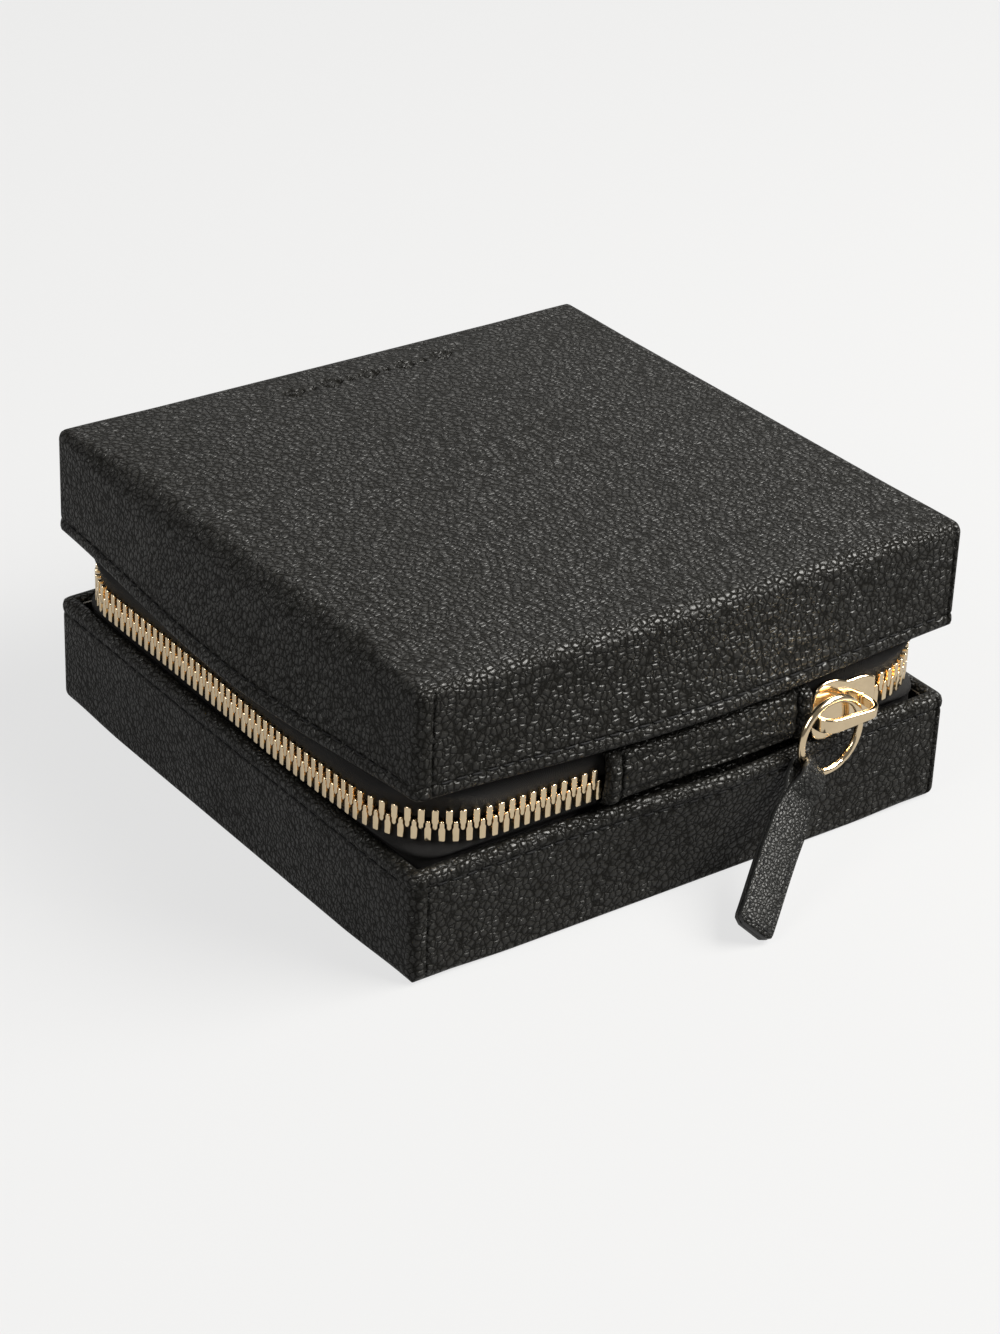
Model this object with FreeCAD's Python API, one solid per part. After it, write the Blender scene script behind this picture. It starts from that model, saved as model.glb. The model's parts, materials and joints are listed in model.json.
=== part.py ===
import FreeCAD, Part

import math
import os

from FreeCAD import Placement, Rotation, Vector

# Square zip-round jewellery case, millimetres. Origin at the centre of the underside, +Z up,
# the flexible leather hinge on the -Y side and the opening edge on the +Y side.

# Overall case
SIDE = 120.0  # footprint, both ways
BASE_HEIGHT = 22.0
GAP = 14.0  # open band between base and lid that the zip closes
LID_HEIGHT = 21.5
CORNER_RADIUS = 1.5  # upright corners of the leather covers
SOLE_EDGE_RADIUS = 0.6
LID_EDGE_RADIUS = 2.0  # soft roll of the leather over the lid's top edges

# Wall build-up, from outside to inside
LEATHER = 1.0
BOARD = 2.0
WALL = LEATHER + BOARD
LINING = 0.8
LINING_INSET = 4.0  # outside of the lining tubs, leaving room for the sewn-in zip tape
LINING_LIP = 1.4  # how far the linings stop short of the cover's lip
PADDING = 1.5  # foam under the lid's top leather

# Zip chain, a number 5 metal zip
CHAIN_Z = 28.0
CHAIN_INSET = 1.4  # middle plane of the tape at the chain, in from the side faces
CHAIN_CORNER_RADIUS = 17.0
TOOTH_PITCH = 2.2
TOOTH_WIDTH = 0.95
TOOTH_THICKNESS = 2.6
TOOTH_REACH = 3.05  # from the chain's centre line to a tooth's outer end
TOOTH_MESH = 0.9  # how far a tooth passes the centre line
TAPE = 0.6
TEETH_X = (32.0, -19.8)  # first tooth inside the slider, last tooth under the panel's edge
TAPE_EDGE = 1.0  # from the centre line to the tape's beaded edge
TAPE_FLAT = 3.4  # from the centre line to where the tape turns in towards its wall
TAPE_WALL_INSET = 3.05
TAPE_WALL_RADIUS = 6.0  # the tape spreads into the corners of the walls
TAPE_TAIL = 10.0  # tape sewn down inside the walls
TAPE_END_X = -15.3  # the beads run on under the panel to here
TAPE_PARTING_X = (24.7, 31.4)  # ahead of the slider, where the two beads stand apart
BEAD_PARTING = 2.6  # a parted bead's distance from the centre line
HINGE_DEPTH = 8.0  # depth behind the hinge side that holds tapes and panel
SLOT_CLEARANCE = 0.06

# Stops at the two ends of the chain
TOP_STOP_X = (28.2, 30.0)
TOP_STOP_LEG = (2.5, 3.35)  # distances from the centre line
TOP_STOP_BRIDGE = (1.7, 2.5)
BOTTOM_STOP_X = (-18.6, -16.4)

# Leather hinge panel, between the two ends of the zip
PANEL_X = (-20.6, 25.2)
PANEL_LEATHER = 0.9
PANEL_PROUD = 1.0  # how far its middle stands out past the side faces
PANEL_TAIL = 9.0
PANEL_SLOPE = 2.2
PANEL_END_GAP = 0.2

# Zip slider
SLIDER_X = 33.0
SLIDER_WING = ((-7.5, 2.2), (-5.2, 5.9), (-0.6, 4.7), (4.8, 4.9), (7.5, 3.2))  # (along, half width)
SLIDER_REAR = 0.8  # width of the rear plate, as a share of the front one
SLIDER_PLATE = 1.1
SLIDER_CLEARANCE = 0.15
SLIDER_RIM_X = (-2.5, 5.85)
SLIDER_RIM = (3.5, 4.2)  # side rims, distances above and below the centre line
SLIDER_RIM_DEPTH = 0.5
WEDGE_X = (-6.0, -2.8)
WEDGE_HALF = 1.3
CROWN_REACH = 6.8  # outer face of the crown, out from the case's side
CROWN_OFFSET = -1.6  # crown's middle, along from the slider's
CROWN_HALF = 6.9
CROWN_BAND = 1.05
CROWN_HALF_HEIGHT = 1.3
CROWN_RADIUS = 3.0

# Pull ring and leather pull tab
RING_RADIUS = 7.3
RING_WIRE = 0.75
RING_STRAND = (34.8, -63.17)  # where the ring's wire passes upright through the crown
RING_DROP = 3.6  # ring centre below the chain's centre line
RING_HEADING = 184.0  # direction from that strand to the ring's centre, seen from above
TAB_RING_ANGLE = 42.0  # tab's place on the ring, from its lowest point towards the free side
TAB_START = 1.65  # from the ring wire to the flat strap
TAB_LENGTH = 35.0
TAB_WIDTH = 8.0
TAB_WAIST = 6.6
TAB_WAIST_LENGTH = 11.0
TAB_THICKNESS = 2.0
TAB_HEADING = 213.6
TAB_ROLL = 48.0
TAB_FLOOR_GAP = 0.15
TAB_CORNER = 1.2
TAB_LOOP_BORE = 1.35
TAB_LOOP_RADIUS = 2.3
TAB_LOOP_LENGTH = 5.0

# Inside of the base
DIVIDER = 2.5
DIVIDER_X = 18.0
DIVIDER_TOP = 19.0
ROLL_COUNT = 7
ROLL_GAP = 0.7
ROLL_HALF_LENGTH = 17.7
ROLL_TOP = 19.3
ROLL_RADIUS = 5.0
FIT = 0.2  # play left round the soft rolls

# Inside of the lid
PAD = 2.5
PAD_HALF = 50.0
PAD_RADIUS = 8.0
POCKET_Y = (-46.0, -10.0)
POCKET_HALF = 42.0
POCKET_THICKNESS = 3.0
POCKET_EDGE_RADIUS = 0.8
ELASTIC_WIDTH = 4.0
BAR_Y = (34.0, 42.0)
BAR_HALF = 42.0
BAR_THICKNESS = 1.0
STRAP_X = {"left": -28.0, "middle": 0.0, "right": 28.0}
STRAP_WIDTH = 8.0
STRAP_LENGTH = 17.7
STRAP_THICKNESS = 1.0
STRAP_ROOT_GAP = 0.4
STRAP_DROP = 0.7  # strap face below the pad, room for the snap
SNAP_Y = 20.0
SNAP_RADIUS = 2.75
SNAP_CAP = 1.0
SNAP_SHANK_RADIUS = 1.1
SNAP_SHANK_LENGTH = 1.1
SNAP_HOLE_RADIUS = 1.2
SNAP_STUD_RADIUS = 2.5
SNAP_STUD = 0.5

HALF = SIDE / 2
LID_Z = BASE_HEIGHT + GAP
TOP_Z = LID_Z + LID_HEIGHT
CHAIN_HALF = HALF - CHAIN_INSET
CHAIN_STRAIGHT = 2 * (CHAIN_HALF - CHAIN_CORNER_RADIUS)
CHAIN_SIDE = CHAIN_STRAIGHT + CHAIN_CORNER_RADIUS * math.pi / 2
LINING_RADIUS = CHAIN_CORNER_RADIUS - (LINING_INSET - CHAIN_INSET)
ROOM_HALF = HALF - LINING_INSET - LINING
PAD_Z = TOP_Z - LEATHER - PADDING - BOARD - LINING - PAD
STOP_Y = (-CHAIN_HALF - TOOTH_THICKNESS / 2, -CHAIN_HALF + TOOTH_THICKNESS / 2)
UP = Vector(0, 0, 1)


def block(x, y, z):
    """A box from three (low, high) pairs."""
    size = [high - low for low, high in (x, y, z)]
    return Part.makeBox(*size, Vector(x[0], y[0], z[0]))


def rounded_loop(inset, radius, z):
    """Closed square outline, inset from the case's sides, with rounded corners."""
    half = HALF - inset
    straight = half - radius
    edges = []
    for quarter in range(4):
        turn = Rotation(UP, 90 * quarter)
        start = turn.multVec(Vector(-straight, -half, z))
        end = turn.multVec(Vector(straight, -half, z))
        bend = radius * math.sqrt(0.5)
        middle = turn.multVec(Vector(straight + bend, -straight - bend, z))
        next_start = turn.multVec(Vector(half, -straight, z))
        edges.append(Part.LineSegment(start, end).toShape())
        edges.append(Part.Arc(end, middle, next_start).toShape())
    return Part.Wire(edges)


def rounded_block(inset, radius, z):
    low, high = z
    return Part.Face(rounded_loop(inset, radius, low)).extrude(Vector(0, 0, high - low))


def square_block(inset, z):
    span = (inset - HALF, HALF - inset)
    return block(span, span, z)


def edges_at(shape, z):
    return [e for e in shape.Edges if all(abs(v.Z - z) < 1e-6 for v in e.Vertexes)]


def prism(outline, height):
    """A closed polygon of vectors, extruded along a vector."""
    return Part.Face(Part.makePolygon(outline + outline[:1])).extrude(height)


# Covers and boards


def base_sole():
    sole = rounded_block(0, CORNER_RADIUS, (0, LEATHER))
    return sole.makeFillet(SOLE_EDGE_RADIUS, edges_at(sole, 0))


def base_cover():
    cover = rounded_block(0, CORNER_RADIUS, (LEATHER, BASE_HEIGHT))
    cover = cover.cut(square_block(LEATHER, (LEATHER, BASE_HEIGHT - LEATHER)))
    return cover.cut(square_block(WALL, (BASE_HEIGHT - LEATHER, BASE_HEIGHT)))


def lid_cover():
    cover = rounded_block(0, CORNER_RADIUS, (LID_Z, TOP_Z))
    cover = cover.makeFillet(LID_EDGE_RADIUS, edges_at(cover, TOP_Z))
    cover = cover.cut(square_block(LEATHER, (LID_Z + LEATHER, TOP_Z - LEATHER)))
    return cover.cut(square_block(WALL, (LID_Z, LID_Z + LEATHER)))


def wall_boards(prefix, z):
    """Four upright boards: two across the full width, two between them."""
    outer, inner = HALF - LEATHER, HALF - WALL
    return {
        prefix + "_board_hinge": block((-outer, outer), (-outer, -inner), z),
        prefix + "_board_front": block((-outer, outer), (inner, outer), z),
        prefix + "_board_left": block((-outer, -inner), (-inner, inner), z),
        prefix + "_board_right": block((inner, outer), (-inner, inner), z),
    }


def base_lining():
    floor = LEATHER + BOARD
    tub = rounded_block(LINING_INSET, LINING_RADIUS, (floor, BASE_HEIGHT - LINING_LIP))
    room = (floor + LINING, BASE_HEIGHT)
    return tub.cut(rounded_block(LINING_INSET + LINING, LINING_RADIUS - LINING, room))


def lid_lining():
    ceiling = TOP_Z - LEATHER - PADDING - BOARD
    tub = rounded_block(LINING_INSET, LINING_RADIUS, (LID_Z + LINING_LIP, ceiling))
    room = (LID_Z, ceiling - LINING)
    return tub.cut(rounded_block(LINING_INSET + LINING, LINING_RADIUS - LINING, room))


# Inside of the base


def dividers():
    floor = LEATHER + BOARD + LINING
    z = (floor, DIVIDER_TOP)
    along = (-ROOM_HALF, ROOM_HALF)
    far = DIVIDER_X + DIVIDER
    return {
        "divider_left": block((-far, -DIVIDER_X), along, z),
        "divider_right": block((DIVIDER_X, far), along, z),
        "divider_cross": block((far, ROOM_HALF), (-DIVIDER / 2, DIVIDER / 2), z),
    }


def ring_rolls():
    """Soft rolls side by side, with a slot between each two that grips a ring."""
    floor = LEATHER + BOARD + LINING
    pitch = 2 * (ROOM_HALF - FIT) / ROLL_COUNT
    rolls = {}
    for i in range(ROLL_COUNT):
        y = -ROOM_HALF + FIT + pitch * i + ROLL_GAP / 2
        length = (-ROLL_HALF_LENGTH, ROLL_HALF_LENGTH)
        roll = block(length, (y, y + pitch - ROLL_GAP), (floor, ROLL_TOP))
        long_edges = [e for e in edges_at(roll, ROLL_TOP) if e.Length > 2 * ROLL_HALF_LENGTH - 1]
        rolls[f"ring_roll_{i + 1}"] = roll.makeFillet(ROLL_RADIUS, long_edges)
    return rolls


# Inside of the lid


def lid_pad():
    return rounded_block(HALF - PAD_HALF, PAD_RADIUS, (PAD_Z, PAD_Z + PAD))


def pocket():
    across = (-POCKET_HALF, POCKET_HALF)
    bag = block(across, POCKET_Y, (PAD_Z - POCKET_THICKNESS, PAD_Z))
    hem_y = (POCKET_Y[1], POCKET_Y[1] + ELASTIC_WIDTH)
    hem = block(across, hem_y, (PAD_Z - POCKET_THICKNESS, PAD_Z))
    lower = edges_at(bag, PAD_Z - POCKET_THICKNESS)
    return {"lid_pocket": bag.makeFillet(POCKET_EDGE_RADIUS, lower), "lid_pocket_elastic": hem}


def necklace_bar():
    return block((-BAR_HALF, BAR_HALF), BAR_Y, (PAD_Z - BAR_THICKNESS, PAD_Z))


def necklace_straps():
    """Snap-down leather straps and their caps, one pair per place on the bar."""
    top = PAD_Z - STRAP_DROP
    root = BAR_Y[0] - STRAP_ROOT_GAP
    parts = {}
    for place, x in STRAP_X.items():
        across = (x - STRAP_WIDTH / 2, x + STRAP_WIDTH / 2)
        strap = block(across, (root - STRAP_LENGTH, root), (top - STRAP_THICKNESS, top))
        below = Vector(x, SNAP_Y, top - 2 * STRAP_THICKNESS)
        hole = Part.makeCylinder(SNAP_HOLE_RADIUS, 3 * STRAP_THICKNESS, below)
        face = Vector(x, SNAP_Y, top - STRAP_THICKNESS)
        cap = Part.makeCylinder(SNAP_RADIUS, SNAP_CAP, face, -UP)
        cap = cap.makeFillet(SNAP_CAP / 2, edges_at(cap, face.z - SNAP_CAP))
        shank = Part.makeCylinder(SNAP_SHANK_RADIUS, SNAP_SHANK_LENGTH, face)
        parts["necklace_strap_" + place] = strap.cut(hole)
        parts["snap_cap_" + place] = cap.fuse(shank)
    return parts


def snap_studs():
    studs = [
        Part.makeCylinder(SNAP_STUD_RADIUS, SNAP_STUD, Vector(x, SNAP_Y, PAD_Z - SNAP_STUD))
        for x in STRAP_X.values()
    ]
    return Part.makeCompound(studs)


# Zip chain


def chain_point(distance):
    """Place and turn on the chain's loop, from the -X end of the hinge side's straight."""
    quarter, along = divmod(distance, CHAIN_SIDE)
    corner = CHAIN_STRAIGHT / 2
    if along < CHAIN_STRAIGHT:
        place, angle = Vector(along - corner, -CHAIN_HALF, CHAIN_Z), 0.0
    else:
        angle = (along - CHAIN_STRAIGHT) / CHAIN_CORNER_RADIUS
        bend = Vector(math.sin(angle), -math.cos(angle), 0) * CHAIN_CORNER_RADIUS
        place = Vector(corner, -corner, CHAIN_Z) + bend
    turn = Rotation(UP, 90 * quarter)
    return turn.multVec(place), Rotation(UP, math.degrees(angle) + 90 * quarter)


def tooth():
    """One upper tooth at the origin, its two legs astride the tape."""
    across = (-TOOTH_THICKNESS / 2, TOOTH_THICKNESS / 2)
    width = (-TOOTH_WIDTH / 2, TOOTH_WIDTH / 2)
    slot = TAPE / 2 + SLOT_CLEARANCE
    body = block(width, across, (-TOOTH_MESH, TOOTH_REACH))
    return body.cut(block(width, (-slot, slot), (TAPE_EDGE - SLOT_CLEARANCE, TOOTH_REACH)))


def teeth():
    """Both rows of teeth, interlocked, from inside the slider round to the hinge panel."""
    start = TEETH_X[0] + CHAIN_STRAIGHT / 2
    end = 4 * CHAIN_SIDE + CHAIN_STRAIGHT / 2 + TEETH_X[1]
    flip = Rotation(Vector(1, 0, 0), 180)
    rows = {"zip_teeth_upper": [], "zip_teeth_lower": []}
    for i in range(int((end - start) / TOOTH_PITCH)):
        for row, shift in (("zip_teeth_upper", 0.0), ("zip_teeth_lower", 0.5)):
            place, turn = chain_point(start + (i + shift) * TOOTH_PITCH)
            one = tooth()
            one.Placement = Placement(place, turn if shift == 0 else turn.multiply(flip))
            rows[row].append(one)
    return {name: Part.makeCompound(solids) for name, solids in rows.items()}


def tape_band(side):
    """Tape all round: side 1 hangs from the lid, side -1 stands in the base."""
    lip = LID_Z if side > 0 else BASE_HEIGHT
    near = CHAIN_Z + side * TAPE_EDGE
    straight = CHAIN_Z + side * TAPE_FLAT
    chain_inset = CHAIN_INSET - TAPE / 2
    chain_radius = CHAIN_CORNER_RADIUS + TAPE / 2
    profile = [
        (lip + side * TAPE_TAIL, TAPE_WALL_INSET, TAPE_WALL_RADIUS),
        (lip, TAPE_WALL_INSET, TAPE_WALL_RADIUS),
        (straight, chain_inset, chain_radius),
        (near, chain_inset, chain_radius),
    ]
    skins = []
    for depth in (0, TAPE):
        loops = [rounded_loop(inset + depth, radius - depth, z) for z, inset, radius in profile]
        skins.append(Part.makeLoft(loops, True, True))
    return skins[0].cut(skins[1])


def zip_tape(side):
    """Tape cut off where the hinge panel takes over, with its beads parted at the slider's nose."""
    opening = (PANEL_X[0] - PANEL_END_GAP, PANEL_X[1] + PANEL_END_GAP)
    near_hinge = (-HALF, -HALF + HINGE_DEPTH)
    tape = tape_band(side)
    tape = tape.cut(block((TAPE_END_X, opening[1]), near_hinge, (0, TOP_Z)))
    tape = tape.cut(block(opening, near_hinge, (0, CHAIN_Z - TAPE_FLAT)))
    tape = tape.cut(block(opening, near_hinge, (CHAIN_Z + TAPE_FLAT, TOP_Z)))
    parting = (CHAIN_Z - BEAD_PARTING, CHAIN_Z + BEAD_PARTING)
    return tape.cut(block(TAPE_PARTING_X, near_hinge, parting))


def end_stop(x, z):
    """Two crimped legs, one each side of the tape."""
    slot = TAPE / 2 + SLOT_CLEARANCE
    return block(x, STOP_Y, z).cut(block(x, (-CHAIN_HALF - slot, -CHAIN_HALF + slot), z))


def top_stop(side):
    """Solid bridge towards the centre line, legs astride the parted bead."""
    legs = sorted(CHAIN_Z + side * reach for reach in TOP_STOP_LEG)
    bridge = sorted(CHAIN_Z + side * reach for reach in TOP_STOP_BRIDGE)
    return end_stop(TOP_STOP_X, legs).fuse(block(TOP_STOP_X, STOP_Y, bridge)).removeSplitter()


def bottom_stop():
    """Box-shaped stop that holds the two beads together under the hinge panel."""
    core = TAPE_EDGE - SLOT_CLEARANCE
    legs = end_stop(BOTTOM_STOP_X, (CHAIN_Z - TOOTH_REACH, CHAIN_Z + TOOTH_REACH))
    bridge = block(BOTTOM_STOP_X, STOP_Y, (CHAIN_Z - core, CHAIN_Z + core))
    return legs.fuse(bridge).removeSplitter()


def hinge_panel():
    """Leather gusset that bends as the lid opens, sewn in behind the walls above and below."""
    wall = -HALF + WALL
    proud = -HALF - PANEL_PROUD
    outer = [
        (wall, BASE_HEIGHT - PANEL_TAIL),
        (wall, BASE_HEIGHT),
        (proud, BASE_HEIGHT + PANEL_SLOPE),
        (proud, LID_Z - PANEL_SLOPE),
        (wall, LID_Z),
        (wall, LID_Z + PANEL_TAIL),
    ]
    outline = [Vector(PANEL_X[0], y, z) for y, z in outer]
    outline += [Vector(PANEL_X[0], y + PANEL_LEATHER, z) for y, z in reversed(outer)]
    return prism(outline, Vector(PANEL_X[1] - PANEL_X[0], 0, 0))


# Slider, ring and tab


def slider_outline(y, share=1.0):
    """Wavy wing outline: wide at the nose, waisted, wider again at the tail."""
    around = list(SLIDER_WING) + [(x, -z) for x, z in reversed(SLIDER_WING)]
    curve = Part.BSplineCurve()
    points = [Vector(SLIDER_X + x, y, CHAIN_Z + share * z) for x, z in around]
    curve.interpolate(points, PeriodicFlag=True)
    return Part.Face(Part.Wire(curve.toShape()))


def slider_body():
    reach = TOOTH_THICKNESS / 2 + SLIDER_CLEARANCE
    outside, inside = -CHAIN_HALF - reach, -CHAIN_HALF + reach
    body = slider_outline(outside - SLIDER_PLATE).extrude(Vector(0, SLIDER_PLATE, 0))
    nose, tail = (SLIDER_X + x for x in WEDGE_X)
    middle = (nose + tail) / 2
    wedge = [
        Vector(nose, outside, CHAIN_Z),
        Vector(middle, outside, CHAIN_Z + WEDGE_HALF),
        Vector(tail, outside, CHAIN_Z),
        Vector(middle, outside, CHAIN_Z - WEDGE_HALF),
    ]
    rear_plate = slider_outline(inside, SLIDER_REAR).extrude(Vector(0, SLIDER_PLATE, 0))
    pieces = [prism(wedge, Vector(0, inside - outside, 0)), rear_plate]
    for side in (-1, 1):
        z = sorted((CHAIN_Z + side * SLIDER_RIM[0], CHAIN_Z + side * SLIDER_RIM[1]))
        rim_x = [SLIDER_X + x for x in SLIDER_RIM_X]
        pieces.append(block(rim_x, (outside, outside + SLIDER_RIM_DEPTH), z))
        pieces.append(block(rim_x, (inside - SLIDER_RIM_DEPTH, inside), z))
    return body.multiFuse(pieces).removeSplitter()


def crown_plan(half, near, far, radius):
    """Half-round-cornered arch seen from above, open towards the slider's plate."""
    middle = SLIDER_X + CROWN_OFFSET
    left, right = middle - half, middle + half
    bend = radius * (1 - math.sqrt(0.5))
    z = CHAIN_Z - CROWN_HALF_HEIGHT
    corners = [
        (left, near),
        (left, far + radius),
        (left + bend, far + bend),
        (left + radius, far),
        (right - radius, far),
        (right - bend, far + bend),
        (right, far + radius),
        (right, near),
    ]
    p = [Vector(x, y, z) for x, y in corners]
    edges = [
        Part.LineSegment(p[0], p[1]),
        Part.Arc(p[1], p[2], p[3]),
        Part.LineSegment(p[3], p[4]),
        Part.Arc(p[4], p[5], p[6]),
        Part.LineSegment(p[6], p[7]),
        Part.LineSegment(p[7], p[0]),
    ]
    wire = Part.Wire([e.toShape() for e in edges])
    return Part.Face(wire).extrude(Vector(0, 0, 2 * CROWN_HALF_HEIGHT))


def slider_crown():
    plate = -CHAIN_HALF - TOOTH_THICKNESS / 2 - SLIDER_CLEARANCE - SLIDER_PLATE
    far = -HALF - CROWN_REACH
    outer = crown_plan(CROWN_HALF, plate, far, CROWN_RADIUS)
    inner_half = CROWN_HALF - CROWN_BAND
    inner = crown_plan(inner_half, plate, far + CROWN_BAND, CROWN_RADIUS - CROWN_BAND)
    return outer.cut(inner)


def ring_frame():
    """Centre of the pull ring and the level direction from its held strand to its centre."""
    heading = math.radians(RING_HEADING)
    level = Vector(math.cos(heading), math.sin(heading), 0)
    offset = math.sqrt(RING_RADIUS**2 - RING_DROP**2)
    strand = Vector(RING_STRAND[0], RING_STRAND[1], CHAIN_Z - RING_DROP)
    return strand + level * offset, level


def pull_ring():
    centre, level = ring_frame()
    return Part.makeTorus(RING_RADIUS, RING_WIRE, centre, level.cross(UP))


def tab_frame():
    """Root on the ring, wire direction there, then length, width and normal of the tab."""
    centre, level = ring_frame()
    angle = math.radians(TAB_RING_ANGLE)
    root = centre + (level * math.sin(angle) - UP * math.cos(angle)) * RING_RADIUS
    wire = level * -math.cos(angle) - UP * math.sin(angle)
    roll = math.radians(TAB_ROLL)
    heading = math.radians(TAB_HEADING)
    reach = TAB_LENGTH - TAB_CORNER
    drop = TAB_WIDTH / 2 * math.sin(roll) + TAB_THICKNESS / 2 * math.cos(roll)
    slant = math.hypot(reach, drop)
    pitch = math.asin((root.z - TAB_FLOOR_GAP) / slant) - math.atan2(drop, reach)
    ahead = Vector(math.cos(heading), math.sin(heading), 0)
    along = ahead * math.cos(pitch) - UP * math.sin(pitch)
    rising = ahead * math.sin(pitch) + UP * math.cos(pitch)
    level_across = Vector(-math.sin(heading), math.cos(heading), 0)
    across = level_across * math.cos(roll) - rising * math.sin(roll)
    return root, wire, along, across, along.cross(across)


def pull_tab():
    """Leather strap, waisted at the ring, lying with one end corner on the ground."""
    root, wire, along, across, normal = tab_frame()
    thickness = normal * TAB_THICKNESS
    waist, half, cut = TAB_WAIST / 2, TAB_WIDTH / 2, TAB_CORNER
    right = [
        (TAB_START, waist),
        (TAB_WAIST_LENGTH / 2, waist),
        (TAB_WAIST_LENGTH, half),
        (TAB_LENGTH - cut, half),
        (TAB_LENGTH, half - cut),
    ]
    outline = right + [(length, -width) for length, width in reversed(right)]
    corner = root - thickness * 0.5
    strap = prism([corner + along * a + across * b for a, b in outline], thickness)
    loop_start = root - wire * (TAB_LOOP_LENGTH / 2)
    loop = Part.makeCylinder(TAB_LOOP_RADIUS, TAB_LOOP_LENGTH, loop_start, wire)
    bore_start = loop_start - wire * TAB_LOOP_LENGTH
    bore = Part.makeCylinder(TAB_LOOP_BORE, 3 * TAB_LOOP_LENGTH, bore_start, wire)
    return strap.fuse(loop).cut(bore).removeSplitter()


def build():
    """Every sub-part by name."""
    floor_z = (LEATHER, LEATHER + BOARD)
    ceiling = TOP_Z - LEATHER - PADDING
    parts = {
        "base_sole": base_sole(),
        "base_cover": base_cover(),
        "base_floor_board": square_block(LEATHER, floor_z),
        "base_lining": base_lining(),
        "lid_cover": lid_cover(),
        "lid_padding": square_block(LEATHER, (ceiling, ceiling + PADDING)),
        "lid_top_board": square_block(LEATHER, (ceiling - BOARD, ceiling)),
        "lid_lining": lid_lining(),
        "lid_pad": lid_pad(),
        "necklace_bar": necklace_bar(),
        "snap_studs": snap_studs(),
        "hinge_panel": hinge_panel(),
        "zip_tape_upper": zip_tape(1),
        "zip_tape_lower": zip_tape(-1),
        "zip_top_stop_upper": top_stop(1),
        "zip_top_stop_lower": top_stop(-1),
        "zip_bottom_stop": bottom_stop(),
        "zip_slider_body": slider_body(),
        "zip_slider_crown": slider_crown(),
        "pull_ring": pull_ring(),
        "pull_tab": pull_tab(),
    }
    parts.update(wall_boards("base", (floor_z[1], BASE_HEIGHT - LEATHER)))
    parts.update(wall_boards("lid", (LID_Z + LEATHER, ceiling - BOARD)))
    parts.update(dividers())
    parts.update(ring_rolls())
    parts.update(pocket())
    parts.update(necklace_straps())
    parts.update(teeth())
    return parts


def main():
    os.makedirs("parts", exist_ok=True)
    for name, shape in build().items():
        shape.exportStep(os.path.join("parts", name + ".step"))
        print(name, len(shape.Solids), round(shape.Volume, 1))


main()
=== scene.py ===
import json
import math

import bpy
import bmesh
import numpy as np
from mathutils import Matrix, Vector


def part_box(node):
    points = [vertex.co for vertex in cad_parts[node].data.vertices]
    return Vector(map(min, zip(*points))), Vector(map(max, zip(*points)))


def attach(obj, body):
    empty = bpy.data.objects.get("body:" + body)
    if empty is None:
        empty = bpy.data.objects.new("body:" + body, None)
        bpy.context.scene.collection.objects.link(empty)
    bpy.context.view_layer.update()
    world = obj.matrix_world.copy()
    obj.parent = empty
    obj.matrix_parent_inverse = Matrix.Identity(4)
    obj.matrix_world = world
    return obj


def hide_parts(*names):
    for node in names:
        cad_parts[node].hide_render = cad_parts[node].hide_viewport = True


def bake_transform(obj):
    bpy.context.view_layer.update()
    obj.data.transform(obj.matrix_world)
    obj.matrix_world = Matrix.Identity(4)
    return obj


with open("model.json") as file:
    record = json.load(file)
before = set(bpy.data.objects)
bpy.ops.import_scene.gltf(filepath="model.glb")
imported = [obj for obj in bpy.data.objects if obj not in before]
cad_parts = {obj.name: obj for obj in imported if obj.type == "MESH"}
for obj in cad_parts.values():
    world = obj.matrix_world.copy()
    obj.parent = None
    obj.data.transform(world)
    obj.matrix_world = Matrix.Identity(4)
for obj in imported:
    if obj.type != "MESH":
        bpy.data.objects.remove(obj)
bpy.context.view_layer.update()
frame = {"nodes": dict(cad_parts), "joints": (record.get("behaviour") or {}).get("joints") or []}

# All shapes below are worked out in millimetres and turned into metres when a mesh is made.
MM = 0.001
X, Y, Z = np.eye(3)


def span(node):
    """A CAD node's lowest and highest corner, in millimetres."""
    low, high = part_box(node)
    return np.array(low) / MM, np.array(high) / MM


# ---------------------------------------------------------------- sizes, from the frame

HALF = span("lid_cover")[1][0]
SOLE_TOP = span("base_sole")[1][2]
BASE_LIP = span("base_cover")[1][2]
LID_LIP = span("lid_cover")[0][2]
LID_TOP = span("lid_cover")[1][2]
WALL = HALF + span("base_board_hinge")[1][1]
CHAIN_LOW, CHAIN_HIGH = span("zip_teeth_lower")[0], span("zip_teeth_upper")[1]
CHAIN_Z = (CHAIN_LOW[2] + CHAIN_HIGH[2]) / 2
TOOTH_REACH = CHAIN_HIGH[2] - CHAIN_Z
TOOTH_THICK = 2.6  # of the zip teeth, in and out
CHAIN_HALF = CHAIN_HIGH[0] - TOOTH_THICK / 2
CHAIN_RADIUS = 17.0  # bend of the zip at the corners
CHAIN_STRAIGHT = 2 * (CHAIN_HALF - CHAIN_RADIUS)
CHAIN_SIDE = CHAIN_STRAIGHT + CHAIN_RADIUS * math.pi / 2
TOOTH_PITCH = 2.2
CHAIN_BOW = 1.3  # how far the left side of the zip bulges out
CHAIN_BOW_Y = -22.0  # where along that side it bulges most
CHAIN_BOW_SPREAD = 24.0
TAPE = 0.6
TAPE_WALL_RADIUS = 6.0  # bend of the tapes inside the wall corners
PANEL_LOW, PANEL_HIGH = span("hinge_panel")
SLIDER_LOW, SLIDER_HIGH = span("zip_slider_body")
CROWN_LOW, CROWN_HIGH = span("zip_slider_crown")


# ---------------------------------------------------------------- mesh helpers


def smoothstep(low, high, value):
    """Climbs from 0 at `low` to 1 at `high` with level ends; `low` may be the greater."""
    t = np.clip((np.asarray(value, float) - low) / (high - low), 0, 1)
    return t * t * (3 - 2 * t)


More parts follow.
